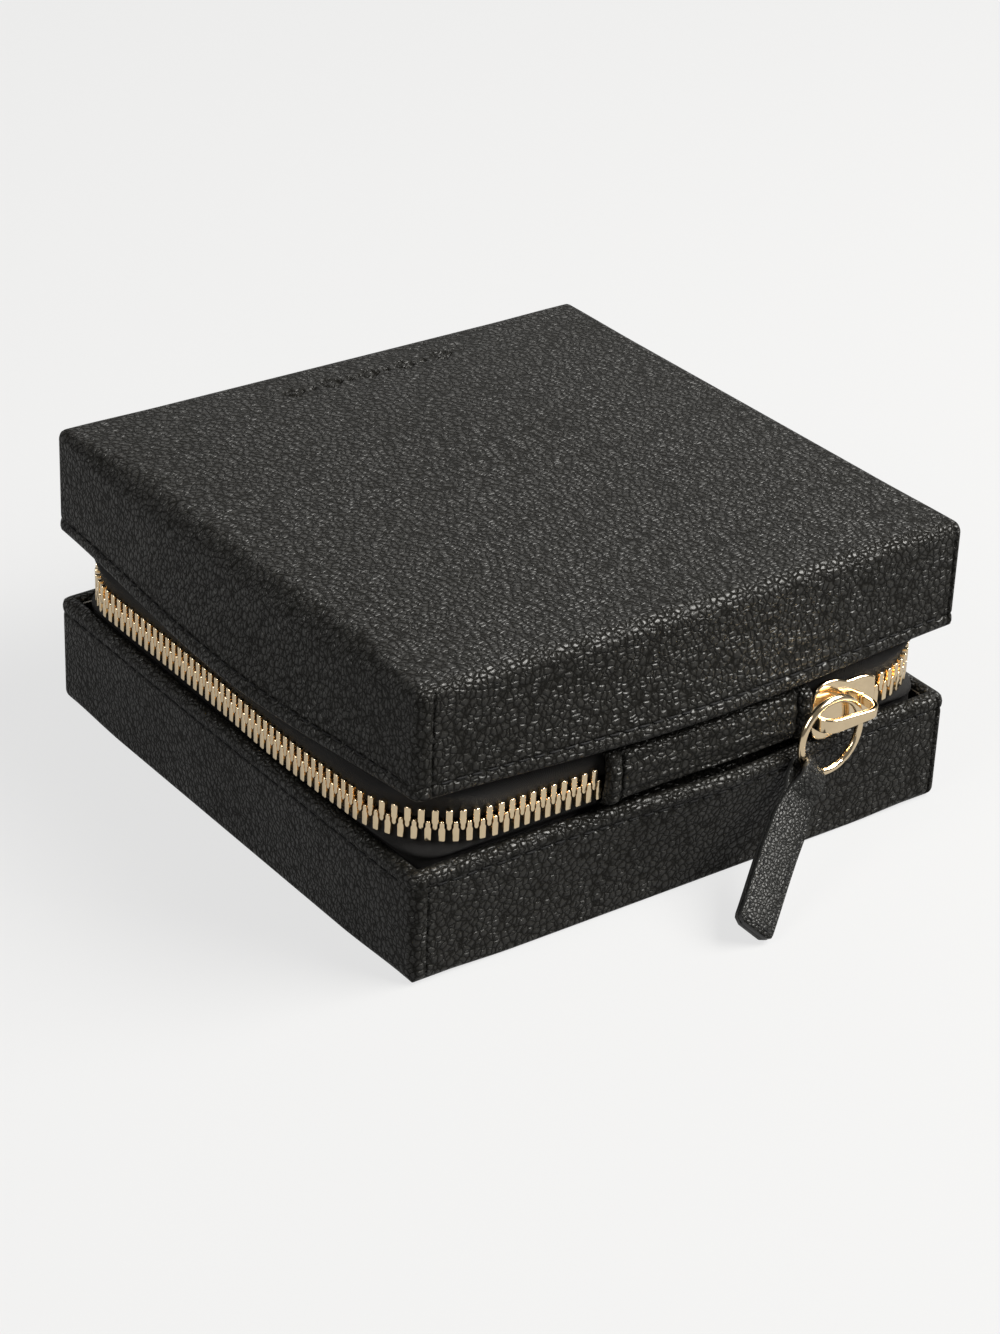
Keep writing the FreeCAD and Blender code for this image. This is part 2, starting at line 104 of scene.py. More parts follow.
def ripple(x, y):
    """Slow, gentle, fixed unevenness of hand-covered work, between about -1 and 1."""
    first = np.sin(x / 23.0 + 1.1) * np.sin(y / 19.0 + 0.4)
    second = np.sin(x / 11.0 - y / 14.0 + 2.0)
    return 0.7 * first + 0.3 * second


def side_axes(side):
    """Outward direction and run of one wall: hinge, right, front or left, as 0 to 3."""
    turn = side * math.pi / 2
    out = np.array([math.sin(turn), -math.cos(turn), 0])
    run = np.array([math.cos(turn), math.sin(turn), 0])
    return out, run


def unit(vectors):
    """Vectors along the last axis, each scaled to length one."""
    return vectors / np.linalg.norm(vectors, axis=-1, keepdims=True)


def grid_faces(rows, columns, wrap=False):
    """Four-sided faces between the points of a grid, row by row."""
    faces = []
    last = columns if wrap else columns - 1
    for r in range(rows - 1):
        for c in range(last):
            n = (c + 1) % columns
            a = r * columns
            b = a + columns
            faces.append((a + c, a + n, b + n, b + c))
    return faces


def piece(name, points, faces, body, material, slot, replaces=(), uvs=None):
    """A new mesh piece that rides on a body and may stand for CAD nodes; its slot argument is not used.
    """
    mesh = bpy.data.meshes.new(name)
    mesh.from_pydata((np.asarray(points, float) * MM).tolist(), [], faces)
    if uvs is not None:
        layer = mesh.uv_layers.new(name="UVMap")
        corner_vertex = np.zeros(len(mesh.loops), np.int32)
        mesh.loops.foreach_get("vertex_index", corner_vertex)
        layer.data.foreach_set("uv", np.asarray(uvs, float)[corner_vertex].ravel())
    mesh.polygons.foreach_set("use_smooth", [True] * len(mesh.polygons))
    mesh.materials.append(material)
    mesh.update()
    obj = bpy.data.objects.new(name, mesh)
    bpy.context.scene.collection.objects.link(obj)
    outward(obj)
    if body:
        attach(obj, body)
    if replaces:
        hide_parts(*replaces)
    return obj


def outward(obj):
    """Welds a mesh's seams and turns its faces outwards."""
    work = bmesh.new()
    work.from_mesh(obj.data)
    bmesh.ops.remove_doubles(work, verts=work.verts, dist=1e-7)
    bmesh.ops.recalc_face_normals(work, faces=work.faces)
    work.to_mesh(obj.data)
    work.free()


def sweep(path, across, out, sections, closed=False):
    """Points and faces of a section carried along a path. sections is (M, 2) or (N, M, 2)."""
    path = np.asarray(path, float)
    count = len(path)
    sections = np.asarray(sections, float)
    if sections.ndim == 2:
        sections = np.repeat(sections[None], count, axis=0)
    across = np.broadcast_to(across, path.shape)
    out = np.broadcast_to(out, path.shape)
    points = path[:, None] + sections[:, :, :1] * across[:, None] + sections[:, :, 1:] * out[:, None]
    size = sections.shape[1]
    faces = grid_faces(count, size, wrap=True)
    if closed:
        a = (count - 1) * size
        faces += [(a + c, a + (c + 1) % size, (c + 1) % size, c) for c in range(size)]
    else:
        faces.append(tuple(range(size)))
        faces.append(tuple(range(count * size - 1, (count - 1) * size - 1, -1)))
    return points.reshape(-1, 3), faces


def rounded_section(width, height, radius, steps=4):
    """Outline of a rectangle with rounded corners, about its middle."""
    points = []
    for quarter in range(4):
        sx = 1 if quarter in (0, 3) else -1
        sy = 1 if quarter in (0, 1) else -1
        for k in range(steps + 1):
            a = (quarter + k / steps) * math.pi / 2
            x = sx * (width / 2 - radius) + radius * math.cos(a)
            y = sy * (height / 2 - radius) + radius * math.sin(a)
            points.append((x, y))
    return np.array(points)


def round_section(steps):
    """Outline of a circle of radius one."""
    angles = np.arange(steps) * 2 * math.pi / steps
    return np.stack([np.cos(angles), np.sin(angles)], axis=1)


def frames_along(path, hint):
    """Two unit vectors square to an open path at each point, the second nearest to the hint."""
    tangent = unit(np.gradient(np.asarray(path, float), axis=0))
    across = unit(np.cross(tangent, hint))
    return across, np.cross(across, tangent)


def extruded(outline, near, far, bevel, segments=4, profile=0.5):
    """Points and faces of an (x, z) outline between two y planes, its rims rounded over."""
    work = bmesh.new()
    front = [work.verts.new((x, near, z)) for x, z in outline]
    face = work.faces.new(front)
    moved = bmesh.ops.extrude_face_region(work, geom=[face])["geom"]
    back = [v for v in moved if isinstance(v, bmesh.types.BMVert)]
    bmesh.ops.translate(work, verts=back, vec=(0, far - near, 0))
    rims = [e for e in work.edges if abs(e.verts[0].co.y - e.verts[1].co.y) < 1e-6]
    bmesh.ops.bevel(work, geom=rims, offset=bevel, segments=segments, profile=profile, affect="EDGES")
    points = np.array([v.co for v in work.verts])
    faces = [tuple(v.index for v in f.verts) for f in work.faces]
    work.free()
    return points, faces


def close_sheet(faces, rows, columns):
    """Joins the borders of two equal grids that follow each other in a point list."""
    total = rows * columns
    rim = list(range(columns)) + [r * columns + columns - 1 for r in range(1, rows)]
    rim += [total - 1 - c for c in range(1, columns)]
    rim += [r * columns for r in range(rows - 2, 0, -1)]
    for k, a in enumerate(rim):
        b = rim[(k + 1) % len(rim)]
        faces.append((a, b, b + total, a + total))


def merge(parts):
    """Joins (points, faces) lists into one."""
    points, faces, start = [], [], 0
    for p, f in parts:
        points.append(np.asarray(p, float))
        faces += [tuple(i + start for i in face) for face in f]
        start += len(p)
    return np.concatenate(points), faces


def station(distance, half, radius):
    """Point, heading and outward direction on a rounded square that keeps pace with the zip."""
    quarter, along = divmod(distance, CHAIN_SIDE)
    corner = half - radius
    if along < CHAIN_STRAIGHT:
        x = along - CHAIN_STRAIGHT / 2
        reach = smoothstep(CHAIN_STRAIGHT / 4, CHAIN_STRAIGHT / 2, abs(x))
        stretch = (corner - CHAIN_STRAIGHT / 2) * reach
        place, angle = np.array([x + math.copysign(stretch, x), -half]), 0.0
    else:
        angle = (along - CHAIN_STRAIGHT) / CHAIN_RADIUS
        place = np.array([corner, -corner]) + np.array([math.sin(angle), -math.cos(angle)]) * radius
    turn = angle + quarter * math.pi / 2
    c, s = math.cos(quarter * math.pi / 2), math.sin(quarter * math.pi / 2)
    place = np.array([c * place[0] - s * place[1], s * place[0] + c * place[1], 0.0])
    heading = np.array([math.cos(turn), math.sin(turn), 0.0])
    return place, heading, np.array([heading[1], -heading[0], 0.0])


def chain_station(distance):
    """Centre-plane point, heading and outward direction on the zip's loop, bowed on the left."""
    place, heading, out = station(distance, CHAIN_HALF, CHAIN_RADIUS)
    left = smoothstep(-20, -50, place[0])
    bulge = CHAIN_BOW * left * math.exp(-(((place[1] - CHAIN_BOW_Y) / CHAIN_BOW_SPREAD) ** 2))
    return place + out * bulge, heading, out


def loop_stations(start, end, step):
    """Distances round the zip's loop: a few on the straights, more round the corners."""
    marks = []
    for quarter in range(6):
        base = quarter * CHAIN_SIDE
        marks += list(np.arange(base, base + CHAIN_STRAIGHT, step))
        marks += list(np.linspace(base + CHAIN_STRAIGHT, base + CHAIN_SIDE, 14))
    marks = sorted(set(round(m, 4) for m in marks if start < m < end))
    return [start] + marks + [end]


# ---------------------------------------------------------------- materials


class Surface:
    """A node material being built, with short calls for what most materials need."""

    def __init__(self, name):
        self.made = bpy.data.materials.new(name)
        self.made.use_nodes = True
        self.nodes = self.made.node_tree.nodes
        self.shader = self.nodes["Principled BSDF"]

    def link(self, source, target):
        self.made.node_tree.links.new(source, target)

    def add(self, kind, **values):
        """A node with its properties and inputs set; input names use underscores for spaces."""
        node = self.nodes.new("ShaderNode" + kind)
        for key, value in values.items():
            if key in node.bl_rna.properties:
                setattr(node, key, value)
            else:
                node.inputs[key.replace("_", " ")].default_value = value
        return node

    def texture(self, kind, coords, **values):
        """A texture node laid out by the given coordinates."""
        node = self.add("Tex" + kind, **values)
        self.link(coords, node.inputs["Vector"])
        return node

    def wandering(self, scale, warp, stretch=(1, 1, 1)):
        """Object coordinates in units of `scale` millimetres, wandering a little."""
        coords = self.add("TexCoord")
        size = self.add("Mapping", Scale=tuple(s / (scale * MM) for s in stretch))
        self.link(coords.outputs["Object"], size.inputs["Vector"])
        noise = self.texture("Noise", size.outputs["Vector"], Scale=0.9, Detail=2.0)
        shift = self.add("VectorMath", operation="MULTIPLY_ADD")
        shift.inputs[1].default_value = (warp,) * 3
        self.link(noise.outputs["Color"], shift.inputs[0])
        self.link(size.outputs["Vector"], shift.inputs[2])
        return shift.outputs["Vector"]

    def ramp(self, source, stops):
        """Colour ramp whose stops are (position, colour), or (position, grey value)."""
        node = self.add("ValToRGB")
        elements = node.color_ramp.elements
        while len(elements) < len(stops):
            elements.new(0.5)
        for element, (position, shade) in zip(elements, stops):
            element.position = position
            element.color = (*shade, 1) if isinstance(shade, tuple) else (shade, shade, shade, 1)
        self.link(source, node.inputs["Fac"])
        return node.outputs["Color"]

    def joined(self, operation, first, second):
        """Result of a math node on two sockets."""
        node = self.add("Math", operation=operation)
        self.link(first, node.inputs[0])
        self.link(second, node.inputs[1])
        return node.outputs[0]

    def mixed(self, share, first, second):
        """The first socket's value, moved by `share` towards the second's."""
        node = self.add("Mix", data_type="FLOAT")
        node.inputs[0].default_value = share
        self.link(first, node.inputs[2])
        self.link(second, node.inputs[3])
        return node.outputs[0]

    def bump(self, height, depth, strength=1.0, shader=None):
        """Raises the surface by up to `depth` millimetres where the height is one."""
        node = self.add("Bump", Strength=strength, Distance=depth * MM)
        self.link(height, node.inputs["Height"])
        self.link(node.outputs["Normal"], (shader or self.shader).inputs["Normal"])

    def finish(self, **inputs):
        """Sets the shader's inputs to numbers or feeds them from sockets."""
        for key, value in inputs.items():
            socket = self.shader.inputs[key.replace("_", " ")]
            if isinstance(value, bpy.types.NodeSocket):
                self.link(value, socket)
            else:
                socket.default_value = value
        return self.made


def shades(tone, low, high):
    """A darker and a lighter shade of a tone, neither above white."""
    return [tuple(min(1, share * c) for c in tone) for share in (low, high)]


def leather(name, tone=(0.0076, 0.0072, 0.0062), grain=1.3, depth=0.3, rough=(0.3, 0.4)):
    """Black pebbled leather: shiny domed cells parted by creases, with finer pores between. The creases
    are painted darker and less shiny, which is painted shade.
    """
    made = Surface(name)
    coords = made.wandering(grain, 0.7, (1.0, 1.3, 1.1))
    edges = made.texture("Voronoi", coords, feature="DISTANCE_TO_EDGE", Scale=1.0)
    middles = made.texture("Voronoi", coords, feature="F1", Scale=1.0)
    fine = made.texture("Noise", coords, Scale=4.5, Detail=3.0)
    cloud = made.texture("Noise", coords, Scale=0.06, Detail=3.0)
    crease = made.ramp(edges.outputs["Distance"], [(0.0, 0), (0.08, 0.4), (0.26, 1)])
    dome = made.ramp(middles.outputs["Distance"], [(0.0, 1), (0.45, 0.72), (0.9, 0.25)])
    pebble = made.joined("MULTIPLY", crease, dome)
    height = made.mixed(0.08, pebble, fine.outputs["Fac"])
    made.bump(height, depth)
    # Colour and shine fall with the grain's height, so the creases get painted shade.
    dark, light = shades(tone, 0.5, 1.0)
    return made.finish(
        Base_Color=made.ramp(height, [(0.05, dark), (0.5, light)]),
        Specular_IOR_Level=made.ramp(height, [(0.05, 0.03), (0.6, 0.24)]),
        Roughness=made.ramp(cloud.outputs["Fac"], [(0.35, rough[0]), (0.68, rough[1])]),
    )


def edge_paint(name):
    """Smooth, slightly wavy, satin black edge paint."""
    made = Surface(name)
    noise = made.texture("Noise", made.wandering(2.0, 0.3), Scale=1.0, Detail=3.0)
    made.bump(noise.outputs["Fac"], 0.05, 0.4)
    colour = made.ramp(noise.outputs["Fac"], [(0.3, 0.008), (0.7, 0.013)])
    return made.finish(Base_Color=colour, Roughness=0.38)


def fabric(name, tone, pitch, depth, rough=0.85, sheen=0.3, twill=True):
    """Woven cloth from two crossed wave patterns, with a little fuzz."""
    made = Surface(name)
    coords = made.add("TexCoord")
    size = made.add("Mapping", Scale=(1 / MM,) * 3)
    made.link(coords.outputs["UV" if twill else "Object"], size.inputs["Vector"])
    waves = []
    for turn in ((0.9, -0.7) if twill else (0.0, math.pi / 2)):
        tilt = made.add("Mapping", Rotation=(0, 0, turn))
        made.link(size.outputs["Vector"], tilt.inputs["Vector"])
        wave = made.texture(
            "Wave", tilt.outputs["Vector"], Scale=1 / pitch, Distortion=1.2, Detail=2.0, Detail_Scale=1.5
        )
        waves.append(wave.outputs["Fac"])
    weave = made.joined("MAXIMUM", *waves)
    made.bump(weave, depth, 0.8)
    # The colour is darker in the weave's hollows: painted shade.
    dark, light = shades(tone, 0.5, 1.0)
    colour = made.ramp(weave, [(0.2, dark), (0.9, light)])
    return made.finish(Base_Color=colour, Roughness=rough, Sheen_Weight=sheen, Specular_IOR_Level=0.15)


def suede(name, tone):
    """Short napped suede: soft cloudy tone, fine fuzz and a velvety rim."""
    made = Surface(name)
    coords = made.wandering(1.0, 0.4)
    fuzz = made.texture("Noise", coords, Scale=5.0, Detail=4.0)
    cloud = made.texture("Noise", coords, Scale=0.09, Detail=3.0)
    nap = made.mixed(0.5, fuzz.outputs["Fac"], cloud.outputs["Fac"])
    made.bump(fuzz.outputs["Fac"], 0.08, 0.6)
    dark, light = shades(tone, 0.7, 1.35)
    colour = made.ramp(nap, [(0.38, dark), (0.62, light)])
    return made.finish(Base_Color=colour, Roughness=0.95, Sheen_Weight=0.6, Sheen_Roughness=0.4)


def gold(name):
    """Polished pale gold plating with faint smudges and hairline waves."""
    made = Surface(name)
    smudge = made.texture("Noise", made.wandering(1.0, 0.2), Scale=0.6, Detail=4.0)
    made.bump(smudge.outputs["Fac"], 0.03, 0.25)
    dark, light = shades((0.95, 0.76, 0.50), 0.93, 1.0)
    return made.finish(
        Base_Color=made.ramp(smudge.outputs["Fac"], [(0.3, dark), (0.7, light)]),
        Roughness=made.ramp(smudge.outputs["Fac"], [(0.35, 0.08), (0.7, 0.18)]),
        Metallic=1.0,
    )


def fibre_board(name, tone, pitch=0.6):
    """Grey bookbinder's board or pale foam: speckled fibres and a matt surface."""
    made = Surface(name)
    speck = made.texture("Noise", made.wandering(pitch, 0.5), Scale=1.6, Detail=5.0)
    made.bump(speck.outputs["Fac"], 0.05, 0.4)
    dark, light = shades(tone, 0.75, 1.2)
    colour = made.ramp(speck.outputs["Fac"], [(0.35, dark), (0.65, light)])
    return made.finish(Base_Color=colour, Roughness=0.9)


FLOOR_BOUNCE = 0.5  # tone of the light that the floor throws on the case
FLOOR_SHADE = 0.06  # how much of the floor's look comes from the lamps
FLOOR_GLOW = 0.71  # how much of it is its own
FLOOR_MIRROR_LOSS = 0.5  # share of the glow that polished surfaces don't mirror


def floor_paper(name):
    """Pale seamless paper that glows evenly, seen or mirrored, so shadows on it stay faint."""
    made = Surface(name)
    bounced = made.add("BsdfDiffuse", Color=(*(FLOOR_BOUNCE,) * 3, 1))
    lit = made.add("BsdfDiffuse", Color=(*(FLOOR_SHADE,) * 3, 1))
    glow = made.add("Emission", Color=(1, 1, 1, 1), Strength=FLOOR_GLOW)
    grain = made.add("TexNoise", Scale=900.0, Detail=2.0)
    made.bump(grain.outputs["Fac"], 0.02, 0.1, shader=lit)
    seen = made.add("AddShader")
    made.link(lit.outputs[0], seen.inputs[0])
    made.link(glow.outputs[0], seen.inputs[1])
    path = made.add("LightPath")
    strength = made.add("Math", operation="MULTIPLY_ADD")
    strength.inputs[1].default_value = -FLOOR_MIRROR_LOSS * FLOOR_GLOW
    strength.inputs[2].default_value = FLOOR_GLOW
    made.link(path.outputs["Is Glossy Ray"], strength.inputs[0])
    made.link(strength.outputs[0], glow.inputs["Strength"])
    mix = made.add("MixShader")
    made.link(path.outputs["Is Diffuse Ray"], mix.inputs[0])
    made.link(seen.outputs[0], mix.inputs[1])
    made.link(bounced.outputs[0], mix.inputs[2])
    made.link(mix.outputs[0], made.nodes["Material Output"].inputs["Surface"])
    return made.made


COVER_LEATHER = leather("black_leather")
TAB_LEATHER = leather("tab_leather", (0.0075, 0.0075, 0.007), grain=0.8, depth=0.12, rough=(0.36, 0.46))
SMOOTH_LEATHER = leather("lining_leather", (0.03, 0.027, 0.025), grain=0.6, depth=0.06)
EDGE_PAINT = edge_paint("edge_paint")
THREAD = fabric("black_thread", (0.005, 0.005, 0.0055), 0.35, 0.05, rough=0.6, sheen=0.0, twill=False)
THREAD_SLOT = "zip_tape"  # thread is black polyester, as the zip's tape is
TAPE_CLOTH = fabric("zip_tape_cloth", (0.008, 0.0075, 0.0075), 0.8, 0.16, rough=0.6, sheen=0.0)
ELASTIC = fabric("elastic_cloth", (0.03, 0.029, 0.028), 0.5, 0.1, twill=False)
SUEDE = suede("charcoal_suede", (0.06, 0.056, 0.053))
GOLD = gold("pale_gold")
BOARD = fibre_board("greyboard", (0.40, 0.38, 0.35))
FOAM = fibre_board("foam", (0.78, 0.76, 0.70), pitch=0.9)


# ---------------------------------------------------------------- leather covers

ROLL_STEPS = 8
LIP_STEPS = 8
HEM = 3.0  # stitch line above or below a free edge
HEM_GROOVE = 0.24
STITCH_PITCH = 3.0
STITCH_LENGTH = 2.35
STITCH_RADIUS = 0.2
STITCH_CORNER = 4.5  # a hem's stitches stop this far from the case's corners
CORNER_ROUND = 1.8
CORNER_TIGHT = 0.35  # least bend of the leather inside a corner
SEAMS = {0: (3.2, 1.8), 2: (3.2, 3.2)}  # upright seams, in from each end of that side
SEAM_GROOVE = 0.32
SEAM_BULGE = 0.22  # of the leather between a seam and its corner
SEAM_DEPTH = 0.4  # seams and hems show only on leather less deep than this
SHARP_ROLL = 2.0
LIP_DROP = 0.22  # how far a lip reaches on for each millimetre it leans out
TOP_DOME = 0.7
TOP_UNEVEN = 0.35
MOTIF_CENTRE = (3.5, 49.5)
MOTIF_HALF = (21.0, 3.0)
MOTIF_PITCH = 8.6
MOTIF_DEPTH = 0.42
DIAMONDS = 5


def corner_lines():
    """Distances from a corner where a cover has mesh lines: dense at the seams and the bend."""
    near = [0, 0.3, 0.6, 0.9, 1.2, 1.45, 1.65, 1.8, 1.95, 2.15, 2.4, 2.7]
    return near + [2.95, 3.1, 3.2, 3.3, 3.45, 3.7, 4.1, 4.8, 5.6]


def side_lines(extra=()):
    """Places of the mesh lines along one side, with finer ones of the caller's where given."""
    near = np.array(corner_lines())
    middle = np.linspace(-HALF + 6.6, HALF - 6.6, 100)
    lines = np.concatenate([near - HALF, middle, HALF - near])
    if len(extra):
        lines = lines[(lines < min(extra) - 0.2) | (lines > max(extra) + 0.2)]
        lines = np.concatenate([lines, extra])
    return np.unique(np.round(lines, 4))


def wall_rows(height):
    """Rows down a wall as (inset, depth) from the closed face to inside the free lip."""
    rows = []
    for k in range(ROLL_STEPS + 1):
        a = k / ROLL_STEPS * math.pi / 2
        rows.append((SHARP_ROLL * (1 - math.sin(a)), SHARP_ROLL * (1 - math.cos(a))))
    lip = WALL / 2
    groove = height - HEM
    dense = groove + np.array([-1.2, -0.7, -0.4, -0.2, 0, 0.2, 0.4, 0.75, 1.1])
    plain = np.linspace(SHARP_ROLL + 0.8, groove - 2.0, 9)
    rows += [(0.0, d) for d in np.concatenate([plain, dense])]
    for k in range(LIP_STEPS + 1):
        a = k / LIP_STEPS * math.pi
        rows.append((lip * (1 - math.cos(a)), height - lip + lip * math.sin(a)))
    rows += [(WALL, height - lip - d) for d in (1.2, 2.6, 4.0)]
    return rows


def seam_relief(side, along, depth, height):
    """Inward relief of seams, hem line and needle puckers at a place on a wall."""
    relief = np.zeros_like(along)
    for end, offset in zip((-1, 1), SEAMS.get(side, ())):
        d = HALF - end * along
        relief += SEAM_GROOVE * np.exp(-(((d - offset) / 0.2) ** 2))
        between = (d < offset) & (d > 0)
        relief -= np.where(between, SEAM_BULGE * np.sin(np.pi * np.clip(d / offset, 0, 1)), 0)
    from_hem = depth - (height - HEM)
    pucker = 0.05 * np.cos(2 * np.pi * along / STITCH_PITCH)
    relief += (HEM_GROOVE + pucker) * np.exp(-((from_hem / 0.28) ** 2))
    hem = np.clip(from_hem / HEM, 0, 1)
    relief -= 0.16 * np.sin(np.pi * hem)
    return relief


def round_corner(points, half, radius):
    """Moves points of a square outline of half-width `half` onto rounded corners."""
    limit = half - radius
    centre = np.clip(points[:, :2], -limit, limit)
    arm = points[:, :2] - centre
    both = (np.abs(arm[:, 0]) > 1e-9) & (np.abs(arm[:, 1]) > 1e-9)
    length = np.linalg.norm(arm, axis=1)
    reach = np.abs(arm).max(axis=1)
    scale = np.where(both, reach / np.maximum(length, 1e-9), 1.0)
    points[:, :2] = centre + arm * scale[:, None]
    return points


def bow(shell, points):
    """Leans each wall's free lip outwards in the middle of its side, as soft board does."""
    closed, lip = shell["closed"], shell["lip"]
    share = np.clip((points[:, 2] - closed) / (lip - closed), 0, 1.1)
    moved = points.copy()
    for side, (amount, peak, width) in enumerate(shell["bows"]):
        out, run = (axis[:2] for axis in side_axes(side))
        along = points[:, :2] @ run / HALF
        reach = points[:, :2] @ out
        near = smoothstep(HALF - 9, HALF - 3, reach)
        ends = np.clip(1 - along**4, 0, 1)
        push = amount * ends * np.exp(-(((along - peak) / width) ** 2)) * share**1.7 * near
        moved[:, :2] += push[:, None] * out
        moved[:, 2] += (lip - closed) / abs(lip - closed) * LIP_DROP * push
    return moved


def motif_lines():
    """Mesh lines fine enough for the pressed motif, across and along."""
    cx, cy = MOTIF_CENTRE
    wide = cx + np.arange(-MOTIF_HALF[0], MOTIF_HALF[0] + 0.1, 0.3)
    deep = cy + np.arange(-MOTIF_HALF[1], MOTIF_HALF[1] + 0.1, 0.25)
    return wide, deep


def motif_relief(x, y):
    """A plain row of pressed diamonds with a dot between each two."""
    relief = np.zeros_like(x)
    for k in range(DIAMONDS):
        centre = MOTIF_CENTRE[0] + (k - DIAMONDS // 2) * MOTIF_PITCH
        size = np.abs(x - centre) / 2.6 + np.abs(y - MOTIF_CENTRE[1]) / 2.2
        ring = smoothstep(1.12, 0.92, size) * (1 - 0.8 * smoothstep(0.62, 0.42, size))
        relief = np.maximum(relief, ring)
        if k < DIAMONDS - 1:
            dot = np.hypot(x - centre - MOTIF_PITCH / 2, y - MOTIF_CENTRE[1])
            relief = np.maximum(relief, smoothstep(0.85, 0.55, dot))
    return MOTIF_DEPTH * relief


def edge_roll(shell, side, along):
    """Roll radius of the leather over the closed edge: broad on the left side of the lid."""
    wide = shell["rolls"][side]
    d = HALF - np.abs(along)
    return SHARP_ROLL + (wide - SHARP_ROLL) * smoothstep(2, 22, d)


def wall_columns(lines):
    """Side number and distance along it of each column of a cover's wall, in order."""
    sides, places = [], []
    for side in range(4):
        run = lines[side % 2]
        if side >= 2:
            run = -run[::-1]
        sides += [side] * (len(run) - 1)
        places += list(run[:-1])
    return np.array(sides), np.array(places)


def one_wall(shell, side, along, rows, height):
    """Points of one wall, row by row, its rolled edge as broad as the shell has it there."""
    sign = 1 if shell["lip"] > shell["closed"] else -1
    out, run = (axis[:2] for axis in side_axes(side))
    roll = edge_roll(shell, side, along)
    points = np.zeros((len(rows), len(along), 3))
    for r, (inset, depth) in enumerate(rows):
        if r <= ROLL_STEPS:
            local_inset = inset * roll / SHARP_ROLL
            local_depth = depth * roll / SHARP_ROLL
        else:
            stretch = np.clip((height - depth) / (height - SHARP_ROLL), 0, 1)
            local_inset = np.full(len(along), inset)
            local_depth = depth + (roll - SHARP_ROLL) * stretch
        if inset < SEAM_DEPTH:
            local_inset = local_inset + seam_relief(side, along, local_depth, height)
        square = along * (HALF - inset) / HALF
        points[r, :, :2] = square[:, None] * run + (HALF - local_inset)[:, None] * out
        points[r, :, 2] = shell["closed"] + sign * local_depth
    return points


def wall_grid(shell, lines):
    """Ring of wall points: rows down the wall by columns round the case."""
    height = abs(shell["lip"] - shell["closed"])
    rows = wall_rows(height)
    sides, places = wall_columns(lines)
    points = np.zeros((len(rows), len(sides), 3))
    for side in range(4):
        pick = np.where(sides == side)[0]
        points[:, pick] = one_wall(shell, side, places[pick], rows, height)
    for r in range(len(rows)):
        inset = rows[r][0]
        points[r] = round_corner(points[r], HALF - inset, max(CORNER_ROUND - inset, CORNER_TIGHT))
    return points


def top_grid(shell, lines):
    """Closed face of a cover between its rolled edges, domed over its padding."""
    xs, ys = lines
    roll = [edge_roll(shell, side, ys if side % 2 else xs) for side in range(4)]
    gx, gy = np.meshgrid(xs, ys)
    left, right = roll[3][:, None], roll[1][:, None]
    near, far = roll[0][None, :], roll[2][None, :]
    share_x, share_y = (gx + HALF) / (2 * HALF), (gy + HALF) / (2 * HALF)
    x = -(HALF - left) + share_x * (2 * HALF - left - right)
    y = -(HALF - near) + share_y * (2 * HALF - near - far)
    flat = np.stack([x.ravel(), y.ravel(), np.full(x.size, shell["closed"])], axis=1)
    return round_corner(flat, HALF - SHARP_ROLL, CORNER_TIGHT)


def padded(points):
    """Lifts the lid's top into a soft, slightly uneven dome."""
    x, y = points[:, 0], points[:, 1]
    plan = np.clip(1 - (x / HALF) ** 4, 0, 1) * np.clip(1 - (y / HALF) ** 4, 0, 1)
    near_top = smoothstep(LID_TOP - 4, LID_TOP, points[:, 2])
    points[:, 2] += near_top * plan * (TOP_DOME + TOP_UNEVEN * ripple(x, y))
    points[:, 2] -= near_top * motif_relief(x, y)
    return points


def leather_cover(name, shell, body, replaces, top):
    """One cover: four walls with seams and hem, and its closed face if it has one."""
    wide, deep = motif_lines() if top else ((), ())
    lines = side_lines(wide), side_lines(deep)
    wall = wall_grid(shell, lines)
    rows, columns = wall.shape[:2]
    parts = [(wall.reshape(-1, 3), grid_faces(rows, columns, wrap=True))]
    if top:
        parts.append((top_grid(shell, lines), grid_faces(len(lines[1]), len(lines[0]))))
    points, faces = merge(parts)
    if top:
        points = padded(points)
    piece(name, bow(shell, points), faces, body, COVER_LEATHER, "leather", replaces)


def on_wall(shell, side, along, depth):
    """Points on a cover's wall, moved as the leather is."""
    sign = 1 if shell["lip"] > shell["closed"] else -1
    out, run = side_axes(side)
    along = np.atleast_1d(np.asarray(along, float))
    z = shell["closed"] + sign * depth
    points = along[:, None] * run + HALF * out + Z * z
    return bow(shell, points)


def stitch(path, lift_axis, radius=STITCH_RADIUS):
    """One thread stitch: a short capsule whose ends dive into the leather."""
    count = 7
    t = np.linspace(0, 1, count)
    line = path[0] + (path[1] - path[0]) * t[:, None]
    dive = -(2 * t - 1) ** 6 * radius * 1.7
    line = line + dive[:, None] * lift_axis
    size = radius * (1 - 0.45 * (2 * t - 1) ** 8)
    across, out = frames_along(line, hint=lift_axis)
    sections = round_section(8)[None] * size[:, None, None]
    return sweep(line, across, out, sections)


def hem_stitches(name, shell, body):
    """A row of stitches round a cover, just clear of its free lip."""
    height = abs(shell["lip"] - shell["closed"])
    run = 2 * (HALF - STITCH_CORNER)
    count = int(run / STITCH_PITCH)
    stitches = []
    for side in range(4):
        out = side_axes(side)[0]
        for k in range(count):
            u = -HALF + STITCH_CORNER + (k + 0.5) * run / count
            ends = np.array([u - STITCH_LENGTH / 2, u + STITCH_LENGTH / 2])
            path = on_wall(shell, side, ends, height - HEM)
            stitches.append(stitch(path - out * 0.03, out))
    points, faces = merge(stitches)
    piece(name, points, faces, body, THREAD, THREAD_SLOT)


